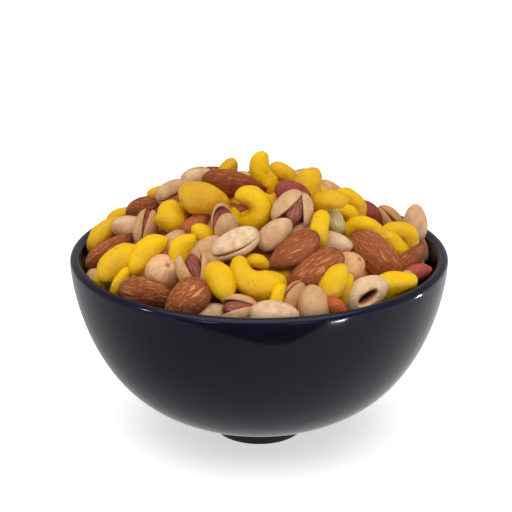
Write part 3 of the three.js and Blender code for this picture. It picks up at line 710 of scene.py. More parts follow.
def new_mesh(name, points, faces, grain=None, inside=None):
    """A smooth mesh of points and faces, with its grain and its inside mask as attributes."""
    mesh = bpy.data.meshes.new(name)
    mesh.from_pydata(np.asarray(points, float).tolist(), [], faces)
    mesh.polygons.foreach_set("use_smooth", [True] * len(mesh.polygons))
    if grain is not None:
        mesh.attributes.new("grain", "FLOAT_VECTOR", "POINT").data.foreach_set(
            "vector", np.asarray(grain, np.float32).ravel())
    if inside is not None:
        mesh.attributes.new("inside", "FLOAT", "POINT").data.foreach_set(
            "value", np.asarray(inside, np.float32))
    mesh.update()
    return mesh


def new_object(name, data):
    thing = bpy.data.objects.new(name, data)
    bpy.context.scene.collection.objects.link(thing)
    return thing


def lathe(name, profile, sides):
    """A closed turned solid from radii and heights that start and end on the axis, in
    millimetres, running up its outside."""
    points, rows = [], []
    for radius, height in profile:
        if radius < 1e-6:
            rows.append([len(points)] * sides)
            points.append((0.0, 0.0, height * MM))
            continue
        rows.append(list(range(len(points), len(points) + sides)))
        for side in range(sides):
            angle = 2 * math.pi * side / sides
            points.append((
                radius * math.cos(angle) * MM, radius * math.sin(angle) * MM, height * MM))
    faces = []
    for low, high in zip(rows, rows[1:]):
        for side in range(sides):
            after = (side + 1) % sides
            corners = [low[side], low[after], high[after], high[side]]
            faces.append(tuple(dict.fromkeys(corners)))
    return new_object(name, new_mesh(name, points, faces))


def add_piece(piece, node):
    """Makes a finished piece ride on the part and stand for a node of it."""
    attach(piece, "root")
    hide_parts(node)


# ---- Node helpers ----

FLOAT, COLOUR, GEOMETRY = "NodeSocketFloat", "NodeSocketColor", "NodeSocketGeometry"


def add_node(tree, kind, inputs=None, **settings):
    """Adds a node with its settings, and links or fills its inputs."""
    node = tree.nodes.new(kind)
    for name, value in settings.items():
        setattr(node, name, value)
    for socket, value in (inputs or {}).items():
        if isinstance(value, bpy.types.NodeSocket):
            tree.links.new(value, node.inputs[socket])
        else:
            node.inputs[socket].default_value = value
    return node


def math_node(tree, operation, first, second=0.0):
    return add_node(tree, "ShaderNodeMath", {0: first, 1: second}, operation=operation).outputs[0]


def times(tree, first, second):
    return math_node(tree, "MULTIPLY", first, second)


def minus(tree, first, second):
    return math_node(tree, "SUBTRACT", first, second)


def ramp(tree, value, low, high, to_low=0.0, to_high=1.0):
    """A value from low to high, mapped to another range and held there."""
    node = add_node(tree, "ShaderNodeMapRange", {
        "Value": value, "From Min": low, "From Max": high, "To Min": to_low, "To Max": to_high})
    return node.outputs["Result"]


def axes_of(tree, vector):
    return add_node(tree, "ShaderNodeSeparateXYZ", {"Vector": vector}).outputs


def object_place(tree):
    return add_node(tree, "ShaderNodeTexCoord").outputs["Object"]


def own(tree, name, socket="Fac"):
    """An attribute of the mesh's own."""
    return add_node(tree, "ShaderNodeAttribute", attribute_name=name).outputs[socket]


def along_nut(tree):
    """How far along its nut a point lies, from -1 to 1."""
    return axes_of(tree, own(tree, "grain", "Vector"))["X"]


def fine_noise(tree, size, detail=2.0):
    """Noise over the object, with grains of a size in metres."""
    return add_node(tree, "ShaderNodeTexNoise", {
        "Vector": object_place(tree), "Scale": 1 / size, "Detail": detail}).outputs["Fac"]


def fold_height(tree, grain, tone, along, around, detail, roughness):
    """The height of folds along each nut, whose tone shifts them, so no two are alike."""
    stretch = add_node(tree, "ShaderNodeCombineXYZ", {"X": along, "Y": around, "Z": around})
    stretched = add_node(
        tree, "ShaderNodeVectorMath", {0: grain, 1: stretch.outputs["Vector"]},
        operation="MULTIPLY")
    noise = add_node(tree, "ShaderNodeTexNoise", {
        "Vector": stretched.outputs["Vector"], "W": times(tree, tone, TONE_SHIFT),
        "Scale": 1.0, "Detail": detail, "Roughness": roughness,
    }, noise_dimensions="4D")
    return math_node(tree, "ABSOLUTE", minus(tree, noise.outputs["Fac"], 0.5))


def mix_colours(tree, share, first, second, blend="MIX"):
    node = add_node(
        tree, "ShaderNodeMix", {"Factor": share, 6: first, 7: second},
        data_type="RGBA", blend_type=blend)
    return node.outputs[2]


def tinted_over(tree, colour, share, strength, tint_colour):
    """A colour with a second one, given from 0 to 255, over a share of it at a strength: a real
    stain in some uses, painted shade in others.
    """
    return mix_colours(tree, times(tree, share, strength), colour, opaque(srgb(*tint_colour)))


def bump(tree, shader, height, distance):
    node = add_node(
        tree, "ShaderNodeBump", {"Height": height, "Distance": distance, "Strength": 1.0})
    tree.links.new(node.outputs["Normal"], shader.inputs["Normal"])


def new_group(name, kind, inputs, outputs):
    """An empty group, what it is given, and the sockets of its result."""
    group = bpy.data.node_groups.new(name, kind)
    for label, socket_kind, default in inputs:
        socket = group.interface.new_socket(label, in_out="INPUT", socket_type=socket_kind)
        if default is not None:
            socket.default_value = default
    for label, socket_kind in outputs:
        group.interface.new_socket(label, in_out="OUTPUT", socket_type=socket_kind)
    given = add_node(group, "NodeGroupInput").outputs
    return group, given, add_node(group, "NodeGroupOutput").inputs


# ---- Geometry Nodes: nuts on points ----

SCATTER_INPUTS = [
    ("Forms", "NodeSocketCollection", None),
    ("Skin", "NodeSocketMaterial", None),
    ("Lump Depth", FLOAT, 0.0),
    ("Lump Size", FLOAT, 0.01),
    ("Ridge Depth", FLOAT, 0.0),
    ("Ridges Along", FLOAT, 0.6),
    ("Ridges Round", FLOAT, 3.0),
    ("Seed", FLOAT, 1.0),
]


def scatter_tree():
    """A tree that stands a nut on each point, with the point's turn, size, form and tone, and
    gives every nut lumps and lengthwise ridges of its own."""
    tree, given, result = new_group(
        "nuts on points", "GeometryNodeTree", [("Geometry", GEOMETRY, None), *SCATTER_INPUTS],
        [("Geometry", GEOMETRY)])

    def attribute(name, kind):
        node = add_node(tree, "GeometryNodeInputNamedAttribute", {"Name": name}, data_type=kind)
        return node.outputs["Attribute"]

    forms = add_node(
        tree, "GeometryNodeCollectionInfo",
        {"Collection": given["Forms"], "Separate Children": True, "Reset Children": True})
    turn = add_node(
        tree, "FunctionNodeEulerToRotation", {"Euler": attribute("turn", "FLOAT_VECTOR")})
    standing = add_node(tree, "GeometryNodeInstanceOnPoints", {
        "Points": given["Geometry"],
        "Instance": forms.outputs["Instances"],
        "Pick Instance": True,
        "Instance Index": attribute("form", "INT"),
        "Rotation": turn.outputs["Rotation"],
        "Scale": attribute("size", "FLOAT_VECTOR"),
    })
    real = add_node(
        tree, "GeometryNodeRealizeInstances", {"Geometry": standing.outputs["Instances"]})

    # Lumps lie in space, and ridges along each nut.
    lumps = add_node(tree, "ShaderNodeTexNoise", {
        "Vector": add_node(tree, "GeometryNodeInputPosition").outputs["Position"],
        "W": given["Seed"], "Scale": math_node(tree, "DIVIDE", 1.0, given["Lump Size"]),
        "Detail": 1.0,
    }, noise_dimensions="4D")
    lump = times(tree, minus(tree, lumps.outputs["Fac"], 0.5), given["Lump Depth"])
    folds = fold_height(
        tree, attribute("grain", "FLOAT_VECTOR"), attribute("tone", "FLOAT"),
        given["Ridges Along"], given["Ridges Round"], 2.0, 0.55)
    height = math_node(tree, "ADD", lump, times(tree, folds, given["Ridge Depth"]))
    normal = add_node(tree, "GeometryNodeInputNormal").outputs["Normal"]
    offset = add_node(
        tree, "ShaderNodeVectorMath", {0: normal, "Scale": height}, operation="SCALE")
    moved = add_node(tree, "GeometryNodeSetPosition", {
        "Geometry": real.outputs["Geometry"], "Offset": offset.outputs["Vector"]})
    dressed = add_node(tree, "GeometryNodeSetMaterial", {
        "Geometry": moved.outputs["Geometry"], "Material": given["Skin"]})
    tree.links.new(dressed.outputs["Geometry"], result["Geometry"])
    return tree


def points_mesh(name, stands):
    """A mesh of points, each with the turn, size, form and tone of what stands on it."""
    mesh = bpy.data.meshes.new(name)
    mesh.from_pydata([(stand["place"] * MM).tolist() for stand in stands], [], [])
    turns = [tuple(Matrix(stand["axes"].tolist()).to_euler()) for stand in stands]
    columns = {
        "turn": ("FLOAT_VECTOR", "vector", turns),
        "size": ("FLOAT_VECTOR", "vector", [stand["size"] for stand in stands]),
        "tone": ("FLOAT", "value", [stand["tone"] for stand in stands]),
        "form": ("INT", "value", [stand["form"] for stand in stands]),
    }
    for column, (kind, field, values) in columns.items():
        attribute = mesh.attributes.new(column, kind, "POINT")
        attribute.data.foreach_set(field, np.array(values).ravel())
    return mesh


def scatter(name, stands, forms, skin, lumps, ridges=(0.0, 0.6, 3.0)):
    """One plain mesh of all the nuts of a kind. Lumps have a depth and a size, and ridges a
    depth and how closely they follow each other along the nut and round it."""
    tree = bpy.data.node_groups.get("nuts on points") or scatter_tree()
    folder = bpy.data.collections.new(name + " forms")
    shapes = [
        bpy.data.objects.new(f"{name} form {i:02}", form) for i, form in enumerate(forms)]
    for shape in shapes:
        folder.objects.link(shape)
    carrier = new_object(name + " points", points_mesh(name + " points", stands))
    modifier = carrier.modifiers.new("nuts", "NODES")
    modifier.node_group = tree
    identifiers = {item.name: item.identifier for item in tree.interface.items_tree}
    for (label, *_), value in zip(SCATTER_INPUTS, (folder, skin, *lumps, *ridges)):
        modifier[identifiers[label]] = value
    ready = carrier.evaluated_get(bpy.context.evaluated_depsgraph_get())
    mesh = bpy.data.meshes.new_from_object(ready)
    for thing in (carrier, *shapes):
        bpy.data.objects.remove(thing)
    bpy.data.collections.remove(folder)
    mesh.name = name
    mesh.polygons.foreach_set("use_smooth", [True] * len(mesh.polygons))
    add_piece(new_object(name, mesh), "nut_heap")


def nuts_of(kind):
    """The heap's nuts of a kind, as fat as they are, and of the plainer form if buried."""
    return [
        dict(nut, form=nut["buried"],
             size=nut["long"] * MM * np.array([1, nut["fat"], nut["fat"]]))
        for nut in heap_nuts() if nut["kind"] == kind
    ]


# ---- Shader node groups ----

def folds_group():
    """Folds that run along each nut, from its own grain, different on every nut."""
    group, given, result = new_group(
        "folds along the nut", "ShaderNodeTree",
        [("Along", FLOAT, 1.0), ("Round", FLOAT, 6.0), ("Detail", FLOAT, 3.0)],
        [("Folds", FLOAT)])
    height = fold_height(
        group, own(group, "grain", "Vector"), own(group, "tone"), given["Along"],
        given["Round"], given["Detail"], 0.6)
    group.links.new(times(group, height, FOLD_GAIN), result["Folds"])
    return group


def colour_group():
    """Colour that changes from nut to nut with its tone, and in soft blotches over each."""
    group, given, result = new_group(
        "nut colour", "ShaderNodeTree",
        [("Dark", COLOUR, None), ("Light", COLOUR, None), ("Blotch Size", FLOAT, 0.006),
         ("Blotches", FLOAT, 0.5)],
        [("Color", COLOUR), ("Blotch", FLOAT)])
    noise = add_node(group, "ShaderNodeTexNoise", {
        "Vector": object_place(group), "Detail": 2.0,
        "Scale": math_node(group, "DIVIDE", 1.0, given["Blotch Size"])}).outputs["Fac"]
    swing = times(
        group, minus(group, noise, 0.5), times(group, given["Blotches"], BLOTCH_GAIN))
    light = add_node(
        group, "ShaderNodeMath", {0: own(group, "tone"), 1: swing}, operation="ADD",
        use_clamp=True)
    mixed = mix_colours(group, light.outputs[0], given["Dark"], given["Light"])
    group.links.new(mixed, result["Color"])
    group.links.new(noise, result["Blotch"])
    return group


def gap_group():
    """Paints shade into a colour in the gaps between the nuts, by its depth under the mound's
    face.
    """
    group, given, result = new_group(
        "painted shade between the nuts", "ShaderNodeTree",
        [("Color", COLOUR, None), ("Open Depth", FLOAT, 0.0055),
         ("Dark Depth", FLOAT, 0.0125), ("Darkest", FLOAT, 0.1)],
        [("Color", COLOUR)])
    axes = axes_of(group, object_place(group))
    square = math_node(
        group, "ADD", times(group, axes["X"], axes["X"]), times(group, axes["Y"], axes["Y"]))
    face = minus(group, mound_height(0) * MM, times(group, square, MOUND_FALL / MM))
    lowered = minus(group, face, ramp(group, square, *WALL_SAG))
    light = ramp(
        group, minus(group, lowered, axes["Z"]), given["Open Depth"], given["Dark Depth"],
        1.0, given["Darkest"])
    # Painted shade: each colour falls off by its own power.
    shade = add_node(group, "ShaderNodeCombineColor", {
        channel: math_node(group, "POWER", light, power)
        for channel, power in GAP_POWERS.items()})
    shaded = mix_colours(group, 1.0, given["Color"], shade.outputs["Color"], "MULTIPLY")
    group.links.new(shaded, result["Color"])
    return group


SHARED_GROUPS = {
    "folds along the nut": folds_group,
    "nut colour": colour_group,
    "painted shade between the nuts": gap_group,
}


def shared_group(tree, name, inputs):
    """Places a group that the materials share, which is made the first time."""
    group = bpy.data.node_groups.get(name) or SHARED_GROUPS[name]()
    return add_node(tree, "ShaderNodeGroup", inputs, node_tree=group).outputs


# ---- Materials ----

def folds(tree, along, around, detail):
    """The height of a skin's folds, from how closely they come along the nut and round it."""
    return shared_group(
        tree, "folds along the nut", {"Along": along, "Round": around, "Detail": detail}
    )["Folds"]


def colour_skin(tree, skin, colour):
    """Gives a nut's skin its colour, with painted shade in the gaps."""
    shaded = shared_group(tree, "painted shade between the nuts", {"Color": colour})["Color"]
    tree.links.new(shaded, skin.inputs["Base Color"])


def srgb(red, green, blue):
    """A colour as it looks, from 0 to 255, in Blender's linear numbers."""
    def linear(value):
        share = value / 255
        return share / 12.92 if share <= 0.04045 else ((share + 0.055) / 1.055) ** 2.4

    return (linear(red), linear(green), linear(blue))


def opaque(colour):
    return (*colour, 1.0)


def new_material(name, roughness, specular, **shader):
    """A material with constant values on its own shader, its tree and that shader."""
    material = bpy.data.materials.new(name)
    material.use_nodes = True
    tree = material.node_tree
    principled = tree.nodes["Principled BSDF"]
    shader.update(Roughness=roughness, Specular_IOR_Level=specular)
    for socket, value in shader.items():
        principled.inputs[socket.replace("_", " ")].default_value = value
    return material, tree, principled


def nut_material(settings, kind, name, blotch_size, blotches, roughness, specular):
    """A kind's material, its tree and shader, and its colour in soft blotches."""
    material, tree, skin = new_material(name, roughness, specular)
    colour = shared_group(tree, "nut colour", {
        "Dark": opaque(getattr(settings, kind + "_dark")),
        "Light": opaque(getattr(settings, kind + "_light")),
        "Blotch Size": blotch_size, "Blotches": blotches})
    return material, tree, skin, colour


def cashew_material(settings):
    """Smooth dyed yellow, oilier and deeper in its blotches, with a few brown pits."""
    material, tree, skin, colour = nut_material(
        settings, "cashew", "roasted yellow cashew", 0.007, 0.5, roughness=0.5, specular=0.14)
    pits = ramp(tree, fine_noise(tree, 0.0016, 1.0), 0.7, 0.78)
    colour_skin(tree, skin, tinted_over(tree, colour["Color"], pits, 0.45, (150, 96, 20)))
    rough = ramp(tree, colour["Blotch"], 0.3, 0.7, 0.4, 0.6)
    tree.links.new(rough, skin.inputs["Roughness"])
    bump(tree, skin, fine_noise(tree, 0.0022, 3.0), 0.0005)
    return material


def almond_material(settings):
    """Brown skin in lengthwise folds, lighter on the folds and red-dark between them: partly the
    skin's own colour, partly painted shade in the valleys.
    """
    material, tree, skin, colour = nut_material(
        settings, "almond", "brown almond skin", 0.005, 0.45, roughness=0.45, specular=0.2)
    ridge = ramp(tree, folds(tree, 2.4, 6.5, 4.0), 0.04, 0.6)
    # Painted shade, with the skin's own darker colour, in the valleys between the folds.
    valley_colour_and_shade = mix_colours(tree, ridge, opaque(settings.almond_groove), colour["Color"])
    tip = ramp(tree, along_nut(tree), 0.965, 0.995)
    colour_skin(tree, skin, mix_colours(tree, tip, valley_colour_and_shade, opaque(settings.almond_tip)))
    tree.links.new(ramp(tree, ridge, 0, 1, 0.6, 0.36), skin.inputs["Roughness"])
    bump(tree, skin, ridge, 0.00034)
    return material


def shell_material(settings):
    """Dry cream shell, mottled, with faint lengthwise lines, browner at its hinge and inside,
    with painted shade near black in an empty shell's pit.
    """
    material, tree, skin, colour = nut_material(
        settings, "shell", "pistachio shell", 0.006, 0.35, roughness=0.55, specular=0.15)
    mottle = ramp(tree, fine_noise(tree, 0.0028, 3.0), 0.46, 0.66)
    mottled = tinted_over(tree, colour["Color"], mottle, 0.4, (188, 128, 92))
    line = ramp(tree, folds(tree, 1.6, 5.0, 3.0), 0.0, 0.5)
    lined = tinted_over(tree, mottled, minus(tree, 1.0, line), 0.16, (150, 100, 60))
    stem = ramp(tree, along_nut(tree), -0.86, -0.99)
    stemmed = tinted_over(tree, lined, stem, 0.5, (110, 70, 45))
    inside = own(tree, "inside")
    lining = mix_colours(
        tree, ramp(tree, inside, 0.55, 1.0), stemmed, opaque(settings.shell_lining))
    # Painted shade: near black deep in an empty shell's pit.
    pit = ramp(tree, inside, 1.2, 1.9)
    colour_skin(tree, skin, tinted_over(tree, lining, pit, 1.0, (34, 22, 24)))
    bump(tree, skin, line, 0.00008)
    return material


def kernel_material(settings, kind, name, groove, blotches):
    """A kernel's thin skin, in folds along its length, darker between them: partly the skin's own
    colour, partly painted shade.
    """
    material, tree, skin, colour = nut_material(
        settings, kind, name, 0.004, blotches, roughness=0.4, specular=0.3)
    ridge = ramp(tree, folds(tree, 1.4, 3.4, 3.0), 0.0, 0.7)
    # The groove colour multiplied in is partly the skin's darker colour and partly painted shade.
    valley_colour_and_shade = mix_colours(tree, 1.0, colour["Color"], opaque(groove), "MULTIPLY")
    colour_skin(tree, skin, mix_colours(tree, ridge, valley_colour_and_shade, colour["Color"]))
    bump(tree, skin, ridge, 0.00022)
    return material


def hazelnut_material(settings):
    """Pale skinned nut with faint lines drawn to its dimple."""
    material, tree, skin, colour = nut_material(
        settings, "hazelnut", "skinned hazelnut", 0.004, 0.5, roughness=0.55, specular=0.15)
    line = ramp(tree, folds(tree, 0.5, 3.0, 2.0), 0.0, 0.4)
    lined = tinted_over(tree, colour["Color"], minus(tree, 1.0, line), 0.3, (180, 124, 80))
    scar = ramp(tree, along_nut(tree), 0.985, 0.998)
    colour_skin(tree, skin, tinted_over(tree, lined, scar, 0.7, (150, 100, 64)))
    bump(tree, skin, line, 0.00008)
    return material


def peanut_material(settings):
    """Papery red skin with fine veins."""
    material, tree, skin, colour = nut_material(
        settings, "peanut", "red peanut skin", 0.003, 0.6, roughness=0.45, specular=0.2)
    colour_skin(tree, skin, colour["Color"])
    bump(tree, skin, folds(tree, 1.2, 3.0, 2.0), 0.00012)
    return material


def core_shade_material(settings):
    """Near-black painted shade at the heap's core, uneven in grains, for the gaps between the
    nuts.
    """
    material, tree, skin = new_material("dark core", 0.8, 0.05)
    noise = fine_noise(tree, 0.003)
    core_shade = tinted_over(tree, opaque(settings.core_shade_colour), noise, 1.0, (44, 22, 12))
    tree.links.new(core_shade, skin.inputs["Base Color"])
    bump(tree, skin, noise, 0.001)
    return material


def glaze_material(settings):
    """Glossy near-black glaze, bluer and thinner on the lip, faintly uneven, and bare under
    the foot."""
    material, tree, skin = new_material("dark navy glaze", 0.1, 0.22, IOR=1.5)
    height = axes_of(tree, object_place(tree))["Z"]
    body = mix_colours(
        tree, fine_noise(tree, 0.02), opaque(settings.glaze_colour),
        opaque(settings.glaze_cloud))
    lip = ramp(tree, height, *((RIM_HEIGHT - below) * MM for below in LIP_TINT))
    tinted = mix_colours(tree, lip, body, opaque(settings.lip_colour))
    speck = ramp(tree, fine_noise(tree, 0.0007, 1.0), 0.72, 0.8, 0.0, 0.35)
    specked = mix_colours(tree, speck, tinted, opaque(settings.lip_colour))
    foot = ramp(tree, height, *BARE_FOOT)
    bare = tinted_over(tree, specked, foot, 1.0, (120, 104, 92))
    tree.links.new(bare, skin.inputs["Base Color"])
    gloss = ramp(tree, fine_noise(tree, 0.012), 0.3, 0.7, settings.gloss, settings.gloss + 0.06)
    rough = math_node(tree, "MAXIMUM", gloss, times(tree, foot, 0.8))
    tree.links.new(rough, skin.inputs["Roughness"])
    bump(tree, skin, fine_noise(tree, 0.009, 1.0), 0.0001)
    return material


# ---- Settings ----

def colour_property(name, description, *colour):
    """A colour setting, whose usual value is from 0 to 255 as it looks."""
    return FloatVectorProperty(
        name=name, description=description, default=srgb(*colour), subtype="COLOR", size=3,
        min=0.0, max=1.0)


def length_property(name, description, millimetres):
    return FloatProperty(
        name=name, description=description, default=millimetres * MM, min=0.0, unit="LENGTH")


class BowlSettings(PropertyGroup):
    sides: IntProperty(
        name="Sides", description="Faces round the bowl", default=192, min=12)
    gloss: FloatProperty(
        name="Gloss", description="Least roughness of the glaze", default=0.08, min=0.0,
        max=1.0, subtype="FACTOR")
    glaze_colour: colour_property("Glaze", "The glaze on the wall", 14, 12, 24)
    glaze_cloud: colour_property("Glaze Clouds", "The glaze where it clouds", 20, 15, 24)
    lip_colour: colour_property("Lip", "The glaze where it thins over the lip", 18, 16, 38)


class NutSettings(PropertyGroup):
    lump_depth: length_property("Lump Depth", "How uneven the smooth nuts are", 1.8)
    wrinkle_depth: length_property("Wrinkle Depth", "How deep an almond's wrinkles are", 0.9)
    cashew_light: colour_property("Cashew Light", "The brightest cashews", 236, 188, 6)
    cashew_dark: colour_property("Cashew Dark", "The dullest cashews", 212, 158, 30)
    almond_light: colour_property("Almond Light", "The lightest almond skins", 230, 144, 80)
    almond_dark: colour_property("Almond Dark", "The darkest almond skins", 160, 84, 50)
    # Between the wrinkles: the skin's darker colour with painted shade.
    almond_groove: colour_property("Almond Groove", "Between the wrinkles", 158, 76, 38)
    almond_tip: colour_property("Almond Tip", "The bare tip", 214, 160, 112)
    shell_light: colour_property("Shell Light", "The palest shells", 238, 208, 168)
    shell_dark: colour_property("Shell Dark", "The brownest shells", 204, 152, 98)
    shell_lining: colour_property("Shell Lining", "Inside the shells", 176, 112, 70)
    kernel_light: colour_property("Kernel Light", "The lightest kernels", 200, 128, 96)
    kernel_dark: colour_property("Kernel Dark", "The darkest kernels", 166, 84, 62)
    bare_light: colour_property("Bare Light", "A bare kernel", 232, 220, 158)
    bare_dark: colour_property("Bare Dark", "A bare kernel fried brown", 200, 96, 34)
    hazelnut_light: colour_property("Hazelnut Light", "The palest", 236, 188, 138)
    hazelnut_dark: colour_property("Hazelnut Dark", "The brownest", 212, 158, 106)
    peanut_light: colour_property("Peanut Light", "The brightest skins", 180, 80, 62)
    peanut_dark: colour_property("Peanut Dark", "The darkest skins", 128, 54, 46)
    # The core's colour is painted shade for the gaps between the nuts.
    core_shade_colour: colour_property("Core", "The dark core", 24, 11, 6)


class StageSettings(PropertyGroup):
    floor_colour: colour_property("Floor", "The plain pale floor", 252, 252, 252)
    sky: FloatProperty(
        name="Sky", description="Strength of the even white light", default=0.42, min=0.0)
    ceiling_power: FloatProperty(
        name="Ceiling Power", description="Power of the broad softbox overhead", default=16.0,
        min=0.0, unit="POWER")
    glint_radiance: FloatProperty(
        name="Glint Radiance", description="Brightness of the lamps that glint on the lip",
        default=90.0, min=0.0)


# ---- The bowl ----

def wall_curve(radius, full_depth, end_radius, steps):
    """Points down a wall's curve from its widest part, evenly spread along its bend."""
    end_angle = math.acos((end_radius / radius) ** (WALL_FULLNESS / 2))
    points = []
    for step in range(steps + 1):
        at = radius * max(math.cos(end_angle * step / steps), 0) ** (2 / WALL_FULLNESS)
        points.append((at, WIDEST_HEIGHT - wall_depth(min(at, radius), radius, full_depth)))
    return points


def bowl_profile():
    """The bowl's section: its foot, up the outside, over the lip and down the inside."""
    ring_inner = FOOT_RADIUS - FOOT_RING_WIDTH
    foot = [
        (0, FOOT_RECESS),
        (ring_inner - FOOT_CHAMFER, FOOT_RECESS),
        (ring_inner, FOOT_RECESS - FOOT_CHAMFER),
        (ring_inner, FOOT_INNER_CHAMFER),
        (ring_inner + FOOT_INNER_CHAMFER, 0),
        (FOOT_RADIUS - FOOT_CHAMFER, 0),
        (FOOT_RADIUS - FOOT_ROUNDING, FOOT_ROUNDING),
        (FOOT_RADIUS, FOOT_CHAMFER),
    ]
    outside = wall_curve(RIM_RADIUS, WALL_DEPTH, FOOT_RADIUS, WALL_STEPS)[::-1]
    lip = []
    for step in range(1, LIP_STEPS):
        angle = math.pi * step / LIP_STEPS
        lip.append((
            RIM_RADIUS - LIP_THICK / 2 + LIP_THICK / 2 * math.cos(angle),
            WIDEST_HEIGHT + LIP_RISE * math.sin(angle)))
    inside = wall_curve(HOLLOW_RADIUS, HOLLOW_DEPTH, 0, WALL_STEPS)
    return [*foot, *outside, *lip, *inside]


class NUTS_OT_bowl(Operator):
    """Turn the glazed bowl on its foot ring"""

    bl_idname = "nuts.bowl"
    bl_label = "Glazed Bowl"

    def execute(self, context):
        settings = context.scene.nut_bowl
        piece = lathe("glazed_bowl", bowl_profile(), settings.sides)
        piece.data.materials.append(glaze_material(settings))
        add_piece(piece, "bowl")
        return {"FINISHED"}


# ---- The nuts ----

def ball_forms(shape, rings, around, *variants):
    """Meshes of a nut's form, one for each variant, and then the same for buried nuts."""
    forms = []
    for share in (1, BURIED_DETAIL):
        ball, faces = unit_ball(round(share * rings), round(share * around))
        grain = round_direction(ball)
        forms += [
            new_mesh(f"{shape.__name__} {share} {i}", shape(ball, *variant), faces, grain)
            for i, variant in enumerate(variants or ((),))
        ]
    return forms


class LaysNuts:
    """What the operators that lay nuts share."""

    def execute(self, context):
        self.lay(context.scene.nut_heap)
        return {"FINISHED"}


class NUTS_OT_cashews(LaysNuts, Operator):
    """Lay the yellow cashews and their split halves"""

    bl_idname = "nuts.cashews"
    bl_label = "Cashews"

    def lay(self, settings):
        skin = cashew_material(settings)
        cashews = nuts_of("cashew")
        variants = sorted({(nut["bend"], nut["fat"]) for nut in cashews})
        for nut in cashews:
            variant = variants.index((nut["bend"], nut["fat"]))
            nut["form"] = variant + nut["buried"] * len(variants)
            nut["size"] = np.full(3, nut["long"] * MM)
        lumps = (settings.lump_depth, 0.007)
        scatter(
            "cashews", cashews, ball_forms(cashew_form, 34, 30, *variants), skin, lumps,
            ridges=(0.0016, 0.8, 1.3))
        scatter("cashew_halves", nuts_of("split"), ball_forms(split_form, 30, 32), skin, lumps)


class NUTS_OT_almonds(LaysNuts, Operator):
    """Lay the almonds in their wrinkled skins"""

    bl_idname = "nuts.almonds"
    bl_label = "Almonds"

    def lay(self, settings):
        scatter(
            "almonds", nuts_of("almond"), ball_forms(almond_form, 40, 56),
            almond_material(settings), lumps=(0.0008, 0.009),
            ridges=(settings.wrinkle_depth, 0.8, 3.4))


def half_shells():
    """Both half shells of every pistachio, each turned about the nut's hinge, and the empty
    shells, whole, in the third form."""
    halves = []
    for nut in nuts_of("pistachio"):
        if nut["hollow"]:
            halves.append(dict(nut, form=2))
            continue
        hinge = nut["place"] + nut["axes"] @ np.array([SHELL_HINGE * nut["long"], 0, 0])
        upper = nut["axes"] @ turn_about("Y", -nut["gap"] / 2)
        lower = nut["axes"] @ turn_about("Y", nut["gap"] / 2) @ turn_about("X", 180)
        halves += [dict(nut, place=hinge, axes=upper), dict(nut, place=hinge, axes=lower)]
    return halves


class NUTS_OT_pistachios(LaysNuts, Operator):
    """Lay the pistachios: their half shells, the kernels in them and the bare kernels"""

    bl_idname = "nuts.pistachios"
    bl_label = "Pistachios"

    def lay(self, settings):
        shells = [
            new_mesh(f"half shell {rings}", *half_shell(rings, around))
            for rings, around in ((24, 16), (8, 6))
        ]
        ball, faces = unit_ball(48, 48)
        points, pit = pitted_form(ball)
        empty = new_mesh("empty shell", points, faces, round_direction(ball), 2 * pit)
        scatter(
            "pistachio_shells", half_shells(), [*shells, empty], shell_material(settings),
            lumps=(0.0005, 0.009), ridges=(0.0002, 0.6, 3.0))
        kernels = [
            dict(nut, size=nut["size"] * KERNEL_SHARE)
            for nut in nuts_of("pistachio") if not nut["hollow"]]
        forms = ball_forms(kernel_form, 24, 26)
        # The groove colours given to the kernels are partly painted shade between their folds.
        scatter(
            "pistachio_kernels", kernels, forms,
            kernel_material(
                settings, "kernel", "red-brown kernel skin", (0.55, 0.42, 0.4), 0.6),
            lumps=(0.0014, 0.004), ridges=(0.0014, 0.6, 2.0))
        scatter(
            "bare_kernels", nuts_of("kernel"), forms,
            kernel_material(settings, "bare", "bare kernel", (0.85, 0.74, 0.6), 0.1),
            lumps=(0.0008, 0.005), ridges=(0.0007, 0.6, 2.0))


class NUTS_OT_hazelnuts(LaysNuts, Operator):
    """Lay the skinned hazelnuts"""

    bl_idname = "nuts.hazelnuts"
    bl_label = "Hazelnuts"

    def lay(self, settings):
        scatter(
            "hazelnuts", nuts_of("hazelnut"), ball_forms(hazelnut_form, 44, 44),
            hazelnut_material(settings), lumps=(0.0012, 0.008), ridges=(0.0004, 0.4, 2.4))


class NUTS_OT_peanuts(LaysNuts, Operator):
    """Lay the red-skinned peanuts"""

    bl_idname = "nuts.peanuts"
    bl_label = "Red Peanuts"

    def lay(self, settings):
        scatter(
            "red_peanuts", nuts_of("peanut"), ball_forms(peanut_form, 30, 30),
            peanut_material(settings), lumps=(0.0008, 0.006), ridges=(0.0003, 0.6, 3.0))


class NUTS_OT_core(LaysNuts, Operator):
    """Fill the bowl under the nuts with the heap's dark core, painted as the shade between the
    nuts
    """

    bl_idname = "nuts.core"
    bl_label = "Heap Core"

    def lay(self, settings):
        edge = RIM_HEIGHT - DEEP_CORE_EDGE
        reach, depth = HOLLOW_RADIUS - TOUCH_GAP, HOLLOW_DEPTH - TOUCH_GAP
        below = [at for at in wall_curve(reach, depth, 0, 2 * CORE_STEPS) if at[1] < edge]
        edge_radius = float(wall_radius(WIDEST_HEIGHT - edge, reach, depth))
        dome = []
        for step in range(CORE_STEPS, -1, -1):
            radius = edge_radius * step / CORE_STEPS
            dome.append((radius, max(mound_height(radius) - DEEP_CORE_BELOW, edge)))
        piece = lathe("heap_core", [*below[::-1], *dome], CORE_SIDES)
        piece.data.materials.append(core_shade_material(settings))
        add_piece(piece, "nut_heap")


# ---- The stage, in metres ----

FLOOR_HALF = 3.0
CEILING_HEIGHT = 1.2
CEILING_SIZE = 1.6
CEILING_FORWARD = -0.35
GLINT_REACH = 0.16         # from the lip to its small lamps

